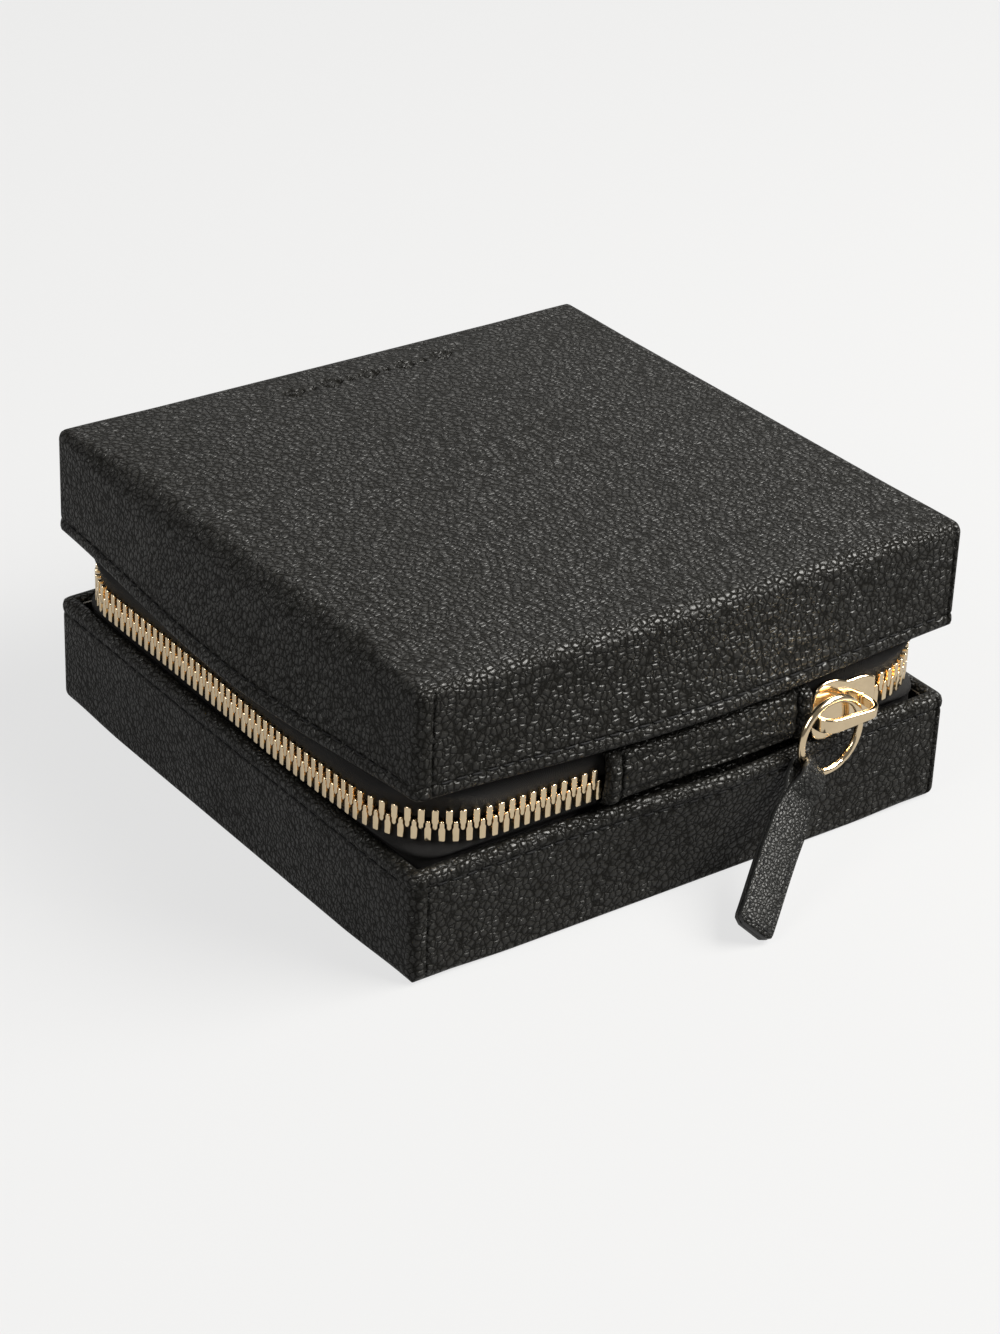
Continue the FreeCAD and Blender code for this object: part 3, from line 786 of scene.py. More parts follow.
# Bows are (how far, where along the side from its middle, how wide), hinge side first.
LID_SHELL = {
    "closed": LID_TOP,
    "lip": LID_LIP,
    "rolls": (2.6, 2.4, 2.6, 4.6),
    "bows": ((3.2, 0.0, 0.75), (1.2, 0.0, 0.8), (2.0, 0.1, 0.8), (4.0, 0.1, 0.75)),
}
BASE_SHELL = {
    "closed": 0.0,
    "lip": BASE_LIP,
    "rolls": (0.9, 0.9, 0.9, 0.9),
    "bows": ((3.5, 0.12, 0.36), (0.8, 0.0, 0.8), (1.6, 0.0, 0.8), (0.6, 0.0, 0.8)),
}
SOLE_INSET = 0.8
SOLE_RECESS = 0.12


def sole():
    """Underside panel, let in a hair's breadth between the turned-over walls."""
    reach = HALF - SOLE_INSET
    low, high = (-reach, -reach, SOLE_RECESS), (reach, reach, SOLE_TOP)
    points, faces = soft_block(low, high, 0.3, cell=3.0)
    piece("sole_leather", points, faces, "base", COVER_LEATHER, "leather", ["base_sole"])


def leather_covers():
    """Lid and base covers, the sole and the stitches along the lips."""
    leather_cover("lid_leather", LID_SHELL, "lid", ["lid_cover"], top=True)
    leather_cover("base_leather", BASE_SHELL, "base", ["base_cover"], top=False)
    sole()
    hem_stitches("lid_hem_thread", LID_SHELL, "lid")
    hem_stitches("base_hem_thread", BASE_SHELL, "base")


# ---------------------------------------------------------------- zip


def tape_profile(side):
    """Outer line of a tape from inside its wall to its edge, as (inset, z)."""
    lip = LID_LIP if side > 0 else BASE_LIP
    wall_inset = WALL + 0.1
    chain_inset = HALF - CHAIN_HALF - TAPE / 2
    straight = CHAIN_Z + side * (TOOTH_REACH + 0.4)
    points = [(wall_inset, lip + side * 9.0), (wall_inset, lip + side * 1.5)]
    for k in range(9):
        t = k / 8
        z = lip + side * 0.4 + (straight - lip - side * 0.4) * t
        ease = t * t * (3 - 2 * t)
        belly = 0.25 * math.sin(math.pi * t)
        points.append((wall_inset + (chain_inset - wall_inset) * ease - belly, z))
    points.append((chain_inset, CHAIN_Z + side * 2.0))
    points.append((chain_inset, CHAIN_Z + side * 1.05))
    return points


def zip_tape(name, side, body, replaces):
    """Woven tape swept round the case, with UVs in metres along and across it."""
    start = PANEL_HIGH[0] - 3.0 + CHAIN_STRAIGHT / 2
    end = 4 * CHAIN_SIDE + PANEL_LOW[0] + 4.0 + CHAIN_STRAIGHT / 2
    profile = tape_profile(side)
    section = [(i, z) for i, z in profile] + [(i + TAPE, z) for i, z in reversed(profile)]
    points, uvs = [], []
    marks = loop_stations(start, end, step=2.0)
    for distance in marks:
        place, _, out = chain_station(distance)
        wall_place = station(distance, HALF - WALL, TAPE_WALL_RADIUS)[0]
        across = 0.0
        for k, (inset, z) in enumerate(section):
            wave = 0.12 * math.sin(distance / 9.0 + side) * math.sin(distance / 4.1)
            free = smoothstep(0.3, 3.0, min(abs(z - CHAIN_Z) - TOOTH_REACH, 3.3))
            by_chain = place + out * (HALF - inset - CHAIN_HALF + wave * free)
            by_wall = wall_place + out * (WALL - inset)
            share = smoothstep(BASE_LIP if side < 0 else LID_LIP, CHAIN_Z + side * TOOTH_REACH, z)
            points.append(by_wall + (by_chain - by_wall) * share + Z * z)
            if k:
                across += math.hypot(inset - section[k - 1][0], z - section[k - 1][1])
            uvs.append((distance * MM, across * MM))
    size = len(section)
    faces = grid_faces(len(marks), size, wrap=True)
    faces.append(tuple(range(size)))
    faces.append(tuple(range(len(points) - 1, len(points) - size - 1, -1)))
    piece(name, points, faces, body, TAPE_CLOTH, "zip_tape", replaces, uvs=uvs)


def tooth_shape():
    """One upper tooth as a closed, bevelled mesh: x along the chain, y outwards, z up."""
    right = [(0.5, TOOTH_REACH), (0.58, TOOTH_REACH - 0.3), (0.58, 0.62)]
    right += [(0.4, 0.3), (0.42, -0.35), (0.22, -0.82)]
    outline = right + [(-x, z) for x, z in reversed(right)]
    return extruded(outline, TOOTH_THICK / 2, -TOOTH_THICK / 2, 0.13, segments=2, profile=0.6)


def zip_teeth():
    """Both rows of teeth, each tooth a separate bevelled bar."""
    shape, faces = tooth_shape()
    start = (SLIDER_LOW[0] + SLIDER_HIGH[0]) / 2 - 1.0
    first = start + CHAIN_STRAIGHT / 2
    end = 4 * CHAIN_SIDE + CHAIN_STRAIGHT / 2 + PANEL_LOW[0] + 0.8
    rows = {1: [], -1: []}
    for k in range(int((end - first) / TOOTH_PITCH)):
        for side, shift in ((1, 0.0), (-1, 0.5)):
            place, heading, out = chain_station(first + (k + shift) * TOOTH_PITCH)
            turned = shape[:, :1] * heading + shape[:, 1:2] * out + shape[:, 2:] * Z * side
            rows[side].append((place + Z * CHAIN_Z + turned, faces))
    for side, name, body in ((1, "upper_teeth", "lid"), (-1, "lower_teeth", "base")):
        points, all_faces = merge(rows[side])
        node = "zip_teeth_upper" if side > 0 else "zip_teeth_lower"
        piece(name, points, all_faces, body, GOLD, "zip_metal", [node])


def smooth_loop(points, steps=10):
    """Closed Catmull-Rom curve through (x, z) points."""
    points = np.asarray(points, float)
    curve = []
    for k in range(len(points)):
        a, b, c, d = (points[(k + j) % len(points)] for j in (-1, 0, 1, 2))
        for t in np.arange(steps) / steps:
            square, cube = 2 * a - 5 * b + 4 * c - d, 3 * b - a - 3 * c + d
            curve.append(0.5 * (2 * b + (c - a) * t + square * t**2 + cube * t**3))
    return np.array(curve)


def slider():
    """Slider with wavy wings, a wedge between them and a flat-band crown."""
    centre = (SLIDER_LOW[0] + SLIDER_HIGH[0]) / 2
    upper = [(-7.5, 2.2), (-6.6, 5.0), (-4.4, 6.0), (-1.8, 5.7)]
    upper += [(0.6, 4.8), (3.6, 4.8), (6.3, 4.2), (7.4, 2.6)]
    around = [(centre + x, CHAIN_Z + z) for x, z in upper]
    around += [(centre + x, CHAIN_Z - z) for x, z in reversed(upper)]
    outline = smooth_loop(around, 6)
    gap = TOOTH_THICK / 2 + 0.15
    outer, inner = -CHAIN_HALF - gap, -CHAIN_HALF + gap
    face = SLIDER_LOW[1]
    rear = (outline - (0, CHAIN_Z)) * (1, 0.8) + (0, CHAIN_Z)
    parts = [extruded(outline, outer, face, 0.42),
             extruded(rear, inner, SLIDER_HIGH[1], 0.35)]
    wedge = smooth_loop([(centre - 6.0, CHAIN_Z), (centre - 4.4, CHAIN_Z + 1.3),
                         (centre - 2.8, CHAIN_Z), (centre - 4.4, CHAIN_Z - 1.3)], 4)
    parts.append(extruded(wedge, outer - 0.2, inner + 0.2, 0.05))
    for side in (-1, 1):
        for low, high in ((outer - 0.2, outer + 0.5), (inner - 0.5, inner + 0.2)):
            rim = rounded_section(8.6, 0.7, 0.3) + np.array([centre + 1.7, CHAIN_Z + side * 3.85])
            parts.append(extruded(rim, low, high, 0.08))
    points, faces = merge(parts)
    body = piece("slider_casting", points, faces, "slider", GOLD, "zip_metal", ["zip_slider_body"])
    crisp(body, 35)
    crown()


def crisp(obj, degrees):
    """Keeps edges sharper than an angle crisp under smooth shading."""
    work = bmesh.new()
    work.from_mesh(obj.data)
    for edge in work.edges:
        if len(edge.link_faces) == 2:
            edge.smooth = edge.calc_face_angle(0) < math.radians(degrees)
    work.to_mesh(obj.data)
    work.free()


def crown():
    """The crown: a flat band arched over the slider, broader at the nose than at the tail."""
    centre = (CROWN_LOW[0] + CROWN_HIGH[0]) / 2
    half = (CROWN_HIGH[0] - CROWN_LOW[0]) / 2 - 0.52
    foot, top = SLIDER_LOW[1] + 0.35, CROWN_LOW[1] + 0.52
    radius = 2.6
    path = [(-half, y) for y in np.linspace(foot, top + radius + 0.3, 4)]
    for k in range(9):
        a = k / 8 * math.pi / 2
        path.append((-half + radius * (1 - math.cos(a)), top + radius * (1 - math.sin(a))))
    path += [(x, top) for x in np.linspace(-half + radius, half - radius, 8)[1:-1]]
    for k in range(9):
        a = k / 8 * math.pi / 2
        path.append((half - radius * (1 - math.sin(a)), top + radius * (1 - math.cos(a))))
    path += [(half, y) for y in np.linspace(top + radius + 0.3, foot, 4)]
    line = np.array([(centre + x, y, CHAIN_Z) for x, y in path])
    normal = np.cross(Z, unit(np.gradient(line, axis=0)))
    full = CROWN_HIGH[2] - CROWN_LOW[2]
    base = rounded_section(full, 1.04, 0.3, 4)
    sections = np.repeat(base[None], len(line), 0)
    taper = 1.08 - 0.34 * smoothstep(-half, half, line[:, 0] - centre)
    sections[:, :, 0] *= taper[:, None]
    points, faces = sweep(line, Z, normal, sections)
    piece("slider_crown", points, faces, "slider", GOLD, "zip_metal", ["zip_slider_crown"])


JOINTS = {j["name"]: j for j in frame["joints"]}
RING_WIRE = 0.75  # radius of the ring's wire
RING_BUTT = 4.2  # angle of the ring's butt joint, in radians


def ring_frame():
    """Pull ring's centre, its level direction from the held strand, and its mean radius."""
    low, high = span("pull_ring")
    centre = (low + high) / 2
    strand = np.array(JOINTS["ring_swing"]["pos_m"]) / MM
    level = centre - strand
    level[2] = 0
    radius = (high[2] - low[2]) / 2 - RING_WIRE
    return centre, level / np.linalg.norm(level), radius


def pull_ring():
    """Round-wire jump ring with a fine butt joint."""
    centre, level, radius = ring_frame()
    angles = np.arange(96) * 2 * math.pi / 96
    path = centre + radius * (np.cos(angles)[:, None] * level + np.sin(angles)[:, None] * Z)
    out = (path - centre) / radius
    across = np.cross(level, Z)
    size = RING_WIRE * (1 - 0.16 * np.exp(-(((angles - RING_BUTT) / 0.035) ** 2)))
    sections = round_section(16)[None] * size[:, None, None]
    points, faces = sweep(path, across, out, sections, closed=True)
    piece("pull_jump_ring", points, faces, "pull_ring", GOLD, "zip_metal", ["pull_ring"])


TAB_LENGTH, TAB_WIDTH, TAB_WAIST, TAB_LAYER, TAB_CORNER = 35.0, 8.0, 6.6, 1.0, 1.2
TAB_HEADING, TAB_ROLL = math.radians(213.6), math.radians(48.0)
TAB_END_ROUND = 1.3
TAB_LOOP = 1.75  # middle of the leather's thickness to the middle of the ring's wire
TAB_LOOP_END = 3.4  # where along the tab its two layers part for the ring
TAB_LOOP_STEPS = 14
TAB_SAG = 0.55
TAB_STITCH = 1.75
TAB_STITCH_PITCH = 2.3


def tab_frame():
    """Root on the ring, wire direction, then the length and width directions of the tab."""
    root = np.array(JOINTS["tab_swing"]["pos_m"]) / MM
    wire = unit(-np.array(JOINTS["tab_swing"]["axis"], float))
    reach = TAB_LENGTH - TAB_CORNER
    drop = TAB_WIDTH / 2 * math.sin(TAB_ROLL) + TAB_LAYER * math.cos(TAB_ROLL)
    pitch = math.asin((root[2] - 0.15) / math.hypot(reach, drop)) - math.atan2(drop, reach)
    ahead = np.array([math.cos(TAB_HEADING), math.sin(TAB_HEADING), 0])
    along = ahead * math.cos(pitch) - Z * math.sin(pitch)
    rising = ahead * math.sin(pitch) + Z * math.cos(pitch)
    level = np.array([-math.sin(TAB_HEADING), math.cos(TAB_HEADING), 0])
    return root, wire, along, level * math.cos(TAB_ROLL) - rising * math.sin(TAB_ROLL)


def tab_width(distance):
    """Width along the tab: a waist by the ring, full width below, rounded end corners."""
    width = TAB_WAIST + (TAB_WIDTH - TAB_WAIST) * smoothstep(5.0, 12.0, distance)
    left = np.clip(distance - (TAB_LENGTH - TAB_END_ROUND), 0, TAB_END_ROUND)
    return width - 2 * (TAB_END_ROUND - np.sqrt(np.clip(TAB_END_ROUND**2 - left**2, 0, None)))


def tab_axes(distance, tab):
    """Width and face directions, which turn from the ring's wire to the tab's own in the waist."""
    _, wire, along, across = tab
    start = unit(wire - along * (wire @ along))
    share = smoothstep(0.5, 13.0, distance)[:, None]
    width = unit(start * (1 - share) + across * share)
    return width, np.cross(along, width)


def tab_path(tab):
    """Middle of the leather up the front, round the wire and down the back, with its width."""
    root, _, along, _ = tab
    reach = np.linspace(TAB_LENGTH, TAB_LOOP_END, 46)
    width_axis, face_axis = tab_axes(reach, tab)
    sag = TAB_SAG * np.sin(np.pi * np.clip(reach / TAB_LENGTH, 0, 1)) ** 2
    centre = root + along * reach[:, None] - face_axis * sag[:, None]
    spread = TAB_LAYER / 2 + (TAB_LOOP - TAB_LAYER / 2) * smoothstep(7.0, 2.6, reach)
    front = centre + face_axis * spread[:, None]
    back = centre - face_axis * spread[:, None]
    bend_width, bend_face = tab_axes(np.array([2.6]), tab)
    turn = np.linspace(0.28, math.pi - 0.28, TAB_LOOP_STEPS)
    arch = np.cos(turn)[:, None] * bend_face[0] - np.sin(turn)[:, None] * along * 1.25
    bend = root + along * 1.0 + TAB_LOOP * arch
    path = np.concatenate([front, bend, back[::-1]])
    axes = np.concatenate([width_axis, np.repeat(bend_width, TAB_LOOP_STEPS, 0), width_axis[::-1]])
    waist = np.full(TAB_LOOP_STEPS, TAB_WAIST)
    widths = np.concatenate([tab_width(reach), waist, tab_width(reach)[::-1]])
    return path, axes, widths


def pull_tab():
    """Folded leather strap: up the front, round the ring's wire and down the back."""
    tab = tab_frame()
    path, axes, widths = tab_path(tab)
    tangent = unit(np.gradient(path, axis=0))
    axes = unit(axes - tangent * np.sum(axes * tangent, axis=1)[:, None])
    base = rounded_section(1.0, TAB_LAYER, 0.3, 3)
    sections = np.repeat(base[None], len(path), 0)
    edge = np.sign(base[:, 0])
    sections[:, :, 0] = edge * widths[:, None] / 2 + (base[:, 0] - edge * 0.5)
    points, faces = sweep(path, axes, np.cross(tangent, axes), sections)
    strap = piece(
        "leather_pull_tab", points, faces, "pull_tab", TAB_LEATHER, "tab_leather", ["pull_tab"]
    )
    paint_edges(strap, axes[20], tab[2])
    tab_thread(tab)


def paint_edges(strap, across, along):
    """Gives the strap's cut edges their paint: faces that look sideways or along it."""
    strap.data.materials.append(EDGE_PAINT)
    for polygon in strap.data.polygons:
        normal = np.array(polygon.normal)
        cut = abs(normal @ across) > 0.75 or abs(normal @ along) > 0.8
        polygon.material_index = 1 if cut else 0


def tab_thread(tab):
    """Stitch line round the tab's front and back, a millimetre in from the edge."""
    root, _, along, _ = tab
    marks = []
    for face in (1, -1):
        for edge in (-1, 1):
            for start in np.arange(7.5, TAB_LENGTH - 1.6, TAB_STITCH_PITCH):
                ends = np.array([start, start + TAB_STITCH])
                width, normal = tab_axes(ends, tab)
                sag = TAB_SAG * np.sin(np.pi * ends / TAB_LENGTH) ** 2
                half = tab_width(ends) / 2 - 1.15
                path = root + along * ends[:, None] + width * (edge * half)[:, None]
                path = path + normal * (face * TAB_LAYER - sag)[:, None]
                marks.append(stitch(path, normal[0] * face, 0.17))
        for middle in (-1.9, 0.0, 1.9):
            ends = np.array([middle - 0.85, middle + 0.85])
            reach = np.full(2, TAB_LENGTH - 1.25)
            width, normal = tab_axes(reach, tab)
            path = root + along * reach[:, None] + width * ends[:, None] + normal * face * TAB_LAYER
            marks.append(stitch(path, normal[0] * face, 0.17))
    points, faces = merge(marks)
    piece("pull_tab_thread", points, faces, "pull_tab", THREAD, THREAD_SLOT)


# ---------------------------------------------------------------- hinge panel


def panel_profile():
    """Outer line of the hinge panel, from inside the base wall to inside the lid wall."""
    inside, proud = -HALF + WALL, PANEL_LOW[1]
    low, high = PANEL_LOW[2], PANEL_HIGH[2]
    points = [(inside, low), (inside, low + 4), (inside, BASE_LIP - 0.5)]
    for t in np.linspace(0, 1, 41):
        z = BASE_LIP + 0.2 + (LID_LIP - BASE_LIP - 0.4) * t
        rise = smoothstep(0, 0.2, t) * smoothstep(1, 0.8, t)
        belly = 0.8 * math.sin(math.pi * t)
        points.append((inside + (proud - inside) * rise - belly, z))
    points += [(inside, LID_LIP + 0.5), (inside, high - 4), (inside, high)]
    return points


def panel_relief(x):
    """The piped, turned edges with the groove beside them, inward positive."""
    relief = np.zeros_like(x)
    for edge, sign in ((PANEL_LOW[0], 1), (PANEL_HIGH[0], -1)):
        d = (x - edge) * sign
        relief += 0.9 * np.clip(1 - d / 0.5, 0, 1) ** 2
        relief -= 0.7 * np.sin(np.pi * np.clip(d / 2.9, 0, 1)) ** 0.6
        relief += 0.8 * np.exp(-(((d - 3.1) / 0.36) ** 2))
    return relief


# Folds of the hinge panel: height above the base's lip, depth, and rise along the panel.
PANEL_FOLDS = ((1.7, 0.5, 0.03), (3.6, 0.36, -0.02), (LID_LIP - BASE_LIP - 1.8, 0.3, 0.02))
PANEL_THICK = 0.95


def panel_folds(x, z):
    """Soft folds that the bending has left near the lips, over a faint ripple."""
    folds = 0.14 * np.sin(z * 1.9 + x / 6.0)
    for level, depth, slope in PANEL_FOLDS:
        folds = folds + depth * np.exp(-(((z - BASE_LIP - level - slope * x) / 0.4) ** 2))
    return folds


def panel_columns():
    """Places along the panel: dense at its piped ends, even between."""
    dense, run = 4.2, 46.6
    ends = np.linspace(0, dense, 22)
    shares = np.concatenate([ends, np.linspace(4.8, run - 4.8, 44), np.linspace(run - dense, run, 22)])
    return PANEL_LOW[0] + shares * (PANEL_HIGH[0] - PANEL_LOW[0]) / run


def hinge_panel():
    """Leather between the zip's two ends, in its closed shape; it rides on no body and does not bend
    when the lid opens.
    """
    profile = np.array(panel_profile())
    xs = panel_columns()
    out, z = profile[:, 0], profile[:, 1]
    free = smoothstep(BASE_LIP, BASE_LIP + 2, z) * smoothstep(LID_LIP, LID_LIP - 2, z)
    relief = panel_relief(xs)[:, None] + panel_folds(xs[:, None], z[None])
    outer = np.zeros((len(xs), len(profile), 3))
    outer[..., 0] = xs[:, None]
    outer[..., 1] = out[None] + free[None] * relief
    outer[..., 2] = z[None]
    inner = outer.copy()
    inner[..., 1] = np.maximum(outer[..., 1] + PANEL_THICK * 0.6, out[None] + PANEL_THICK)
    loop = np.concatenate([outer, inner[:, ::-1]], axis=1)
    size = loop.shape[1]
    points = loop.reshape(-1, 3)
    faces = grid_faces(len(xs), size, wrap=True)
    faces.append(tuple(range(size)))
    faces.append(tuple(range(len(points) - 1, len(points) - size - 1, -1)))
    panel = piece("hinge_leather", points, faces, None, COVER_LEATHER, "leather", ["hinge_panel"])
    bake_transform(panel)


# ---------------------------------------------------------------- inside


def tub_profile(inset, floor, lip):
    """Section of a lining from its outer foot, over the rolled rim, to its floor, as (inset, z)."""
    sign = 1 if lip > floor else -1
    thick, fillet, rim = 0.8, 2.0, 0.4
    top = abs(lip - floor) - rim
    profile = [(inset, 0), (inset, top - 0.1)]
    for k in range(7):
        a = k / 6 * math.pi
        profile.append((inset + thick / 2 * (1 - math.cos(a)), top + rim * math.sin(a)))
    profile.append((inset + thick, thick + fillet + 0.2))
    for k in range(1, 7):
        a = k / 6 * math.pi / 2
        foot = (inset + thick + fillet * (1 - math.cos(a)), thick + fillet * (1 - math.sin(a)))
        profile.append(foot)
    return [(i, floor + sign * rise) for i, rise in profile]


def lining_tub(part):
    """Suede-covered tub with rounded corners and a rolled rim, open towards its lip."""
    node = part + "_lining"
    low, high = span(node)
    floor, lip = (low[2], high[2]) if part == "base" else (high[2], low[2])
    marks = loop_stations(0, 4 * CHAIN_SIDE, step=4.0)[:-1]
    profile = tub_profile(HALF - span("base_lining")[1][0], floor, lip)
    rings = []
    for inset, z in profile:
        for distance in marks:
            place, _, out = station(distance, CHAIN_HALF, CHAIN_RADIUS)
            rings.append(place + out * (HALF - inset - CHAIN_HALF) + Z * z)
    count = len(marks)
    faces = grid_faces(len(profile), count, wrap=True)
    last = (len(profile) - 1) * count
    faces.append(tuple(range(last, last + count)))
    faces.append(tuple(range(count - 1, -1, -1)))
    piece(node + "_suede", rings, faces, part, SUEDE, "suede", [node])


def soft_block(low, high, radius, puff=0.0, cell=2.0):
    """Rounded block as an even mesh, its faces swelling by `puff` in the middle."""
    low, high = np.asarray(low, float), np.asarray(high, float)
    size = high - low
    steps = np.maximum(4, np.round(size / cell).astype(int) + 4)
    axes = []
    for a in range(3):
        near = np.array([0, 0.15, 0.4, 0.75, 1.0]) * radius
        middle = np.linspace(radius, size[a] - radius, steps[a])[1:-1]
        axes.append(np.concatenate([near, middle, size[a] - near[::-1]]))
    parts = []
    for a in range(3):
        b, c = (a + 1) % 3, (a + 2) % 3
        gb, gc = np.meshgrid(axes[b], axes[c], indexing="ij")
        for end in (0, size[a]):
            points = np.zeros((gb.size, 3))
            points[:, b], points[:, c], points[:, a] = gb.ravel(), gc.ravel(), end
            parts.append((points, grid_faces(len(axes[b]), len(axes[c]))))
    points, faces = merge(parts)
    core = np.clip(points, radius, size - radius)
    arm = points - core
    length = np.linalg.norm(arm, axis=1)
    reach = np.abs(arm).max(axis=1)
    points = core + arm * (reach / np.maximum(length, 1e-9))[:, None]
    spot = points / size * 2 - 1
    swell = np.prod(np.clip(1 - np.abs(spot) ** 2.5, 0, 1) + (np.abs(spot) > 0.999) * 1.0, axis=1)
    points = points + puff * spot * swell[:, None]
    return points + low, faces


def inflate(obj, pressure, frames, cap):
    """Cloth simulation that fills a soft piece out, no point moving further than `cap`."""
    rest = np.array([v.co for v in obj.data.vertices])
    cloth = obj.modifiers.new("inflate", "CLOTH")
    cloth.settings.use_pressure = True
    cloth.settings.uniform_pressure_force = pressure
    cloth.settings.effector_weights.gravity = 0
    cloth.settings.quality = 6
    cloth.settings.mass = 0.3
    cloth.settings.tension_stiffness = 25
    cloth.settings.compression_stiffness = 25
    cloth.settings.bending_stiffness = 3
    cloth.point_cache.frame_start = 1
    cloth.point_cache.frame_end = frames
    scene = bpy.context.scene
    for number in range(1, frames + 1):
        scene.frame_set(number)
    settled = obj.evaluated_get(bpy.context.evaluated_depsgraph_get())
    moved = np.array([v.co for v in settled.data.vertices])
    obj.modifiers.remove(cloth)
    scene.frame_set(1)
    step = moved - rest
    length = np.linalg.norm(step, axis=1)
    step *= (np.minimum(length, cap * MM) / np.maximum(length, 1e-12))[:, None]
    obj.data.vertices.foreach_set("co", (rest + step).astype(np.float32).ravel())
    obj.data.update()


def ring_rolls():
    """Padded rolls: one is simulated and the others are copies, some of them mirrored across one or both
    level axes.
    """
    names = [f"ring_roll_{k}" for k in range(1, 8)]
    low, high = span(names[0])
    pull_in = np.array([0.5, 0.75, 0.3])
    points, faces = soft_block(low + pull_in, high - pull_in * (1, 1, 2.2), 4.4, cell=1.6)
    first = piece("ring_roll_cushion_1", points, faces, None, SUEDE, "suede", [names[0]])
    inflate(first, 3.0, 16, 0.9)
    centre = Vector((low + high) / 2 * MM)
    for k, name in enumerate(names[1:], start=2):
        other_low, other_high = span(name)
        copy = bpy.data.objects.new(f"ring_roll_cushion_{k}", first.data.copy())
        bpy.context.scene.collection.objects.link(copy)
        shift = Vector((other_low + other_high) / 2 * MM)
        flip = Matrix.Diagonal((1 if k % 2 else -1, 1 if k % 3 else -1, 1, 1))
        copy.data.transform(Matrix.Translation(shift) @ flip @ Matrix.Translation(-centre))
        outward(copy)
        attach(copy, "base")
        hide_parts(name)
    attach(first, "base")


def dividers():
    """Suede-covered dividers, their upper parts a little wavy."""
    for name in ("divider_left", "divider_right", "divider_cross"):
        low, high = span(name)
        points, faces = soft_block(low + 0.02, high - 0.02, 0.9, cell=3.0)
        wobble = 0.12 * ripple(points[:, 1] * 2, points[:, 2] * 3 + points[:, 0])
        thin = 0 if name != "divider_cross" else 1
        inner = points[:, 2] > low[2] + 2
        points[:, thin] += wobble * inner * 0.6
        piece(name + "_suede", points, faces, "base", SUEDE, "suede", [name])


def lid_pad():
    """Thin padded panel, quilted by its edge seam."""
    low, high = span("lid_pad")
    xs = np.linspace(low[0], high[0], 90)
    count = len(xs)
    gx, gy = np.meshgrid(xs, xs)
    flat = np.stack([gx.ravel(), gy.ravel(), np.zeros(gx.size)], 1)
    flat = round_corner(flat, high[0], 8.0)
    edge = high[0] - np.maximum(np.abs(flat[:, 0]), np.abs(flat[:, 1]))
    crown = np.sqrt(np.clip(1 - (1 - np.clip(edge / 2.5, 0, 1)) ** 2, 0, 1))
    seam = 0.5 * np.exp(-(((edge - 4.0) / 0.5) ** 2))
    face, back = flat.copy(), flat.copy()
    face[:, 2] = high[2] - 0.3 - (high[2] - low[2] - 0.35) * crown + seam
    back[:, 2] = high[2]
    points, faces = merge([(face, grid_faces(count, count)), (back, grid_faces(count, count))])
    close_sheet(faces, count, count)
    piece("lid_pad_suede", points, faces, "lid", SUEDE, "suede", ["lid_pad"])


def lid_pocket():
    """Gathered pocket whose folds fan out from the elastic hem."""
    low, high = span("lid_pocket")
    hem_low, hem_high = span("lid_pocket_elastic")
    xs = np.linspace(low[0], high[0], 220)
    ys = np.linspace(low[1], hem_low[1] + 0.3, 36)
    gx, gy = np.meshgrid(xs, ys)
    share = (gy - ys[0]) / (ys[-1] - ys[0])
    folds = np.sin(gx * 1.55 + 1.3 * np.sin(gx * 0.21)) * 0.5 + 0.5
    folds = folds * (0.25 + 0.75 * share**1.4)
    loose = np.sin(np.pi * np.clip(share, 0, 1)) ** 0.7
    side = smoothstep(0, 3.0, np.minimum(gx - low[0], high[0] - gx))
    fullness = 0.45 * loose + 0.55 * folds * (0.3 + 0.7 * share)
    thick = (0.5 + (high[2] - low[2] - 0.9) * fullness) * side + 0.25
    face = np.stack([gx.ravel(), gy.ravel(), (high[2] - thick).ravel()], 1)
    back = face.copy()
    back[:, 2] = high[2] - 0.02
    rows, columns = len(ys), len(xs)
    points, faces = merge([(face, grid_faces(rows, columns)), (back, grid_faces(rows, columns))])
    close_sheet(faces, rows, columns)
    piece("lid_pocket_suede", points, faces, "lid", SUEDE, "suede", ["lid_pocket"])
    elastic_hem(hem_low, hem_high)


def elastic_hem(low, high):
    """Ruched elastic along the pocket's mouth."""
    xs = np.linspace(low[0], high[0], 260)
    ruche = 0.16 * np.sin(xs * 1.9) + 0.08 * np.sin(xs * 3.7 + 1)
    middle = np.full_like(xs, (low[1] + high[1]) / 2)
    path = np.stack([xs, middle, high[2] - 1.35 - ruche], 1)
    section = rounded_section(high[1] - low[1] - 0.2, 2.3, 0.9, 4)
    points, faces = sweep(path, Y, Z, section)
    uvs = np.stack([points[:, 0] * MM, points[:, 1] * MM], 1)
    piece("lid_pocket_hem", points, faces, "lid", ELASTIC, "elastic", ["lid_pocket_elastic"], uvs=uvs)


def strap_leather():
    """Necklace bar and its three snap-down straps, with stitching and domed caps."""
    low, high = span("necklace_bar")
    points, faces = soft_block(low + 0.01, high - (0.01, 0.01, 0), 0.4, cell=2.5)
    piece("necklace_bar_leather", points, faces, "lid", SMOOTH_LEATHER, "leather", ["necklace_bar"])
    marks = []
    for y in (low[1] + 1.0, high[1] - 1.0):
        for x in np.arange(low[0] + 2.5, high[0] - 2.5, 2.6):
            path = np.array([(x, y, low[2]), (x + 1.9, y, low[2])])
            marks.append(stitch(path, -Z, 0.16))
    points, faces = merge(marks)
    piece("necklace_bar_thread", points, faces, "lid", THREAD, "zip_tape")
    for place in ("left", "middle", "right"):
        snap_strap(place)


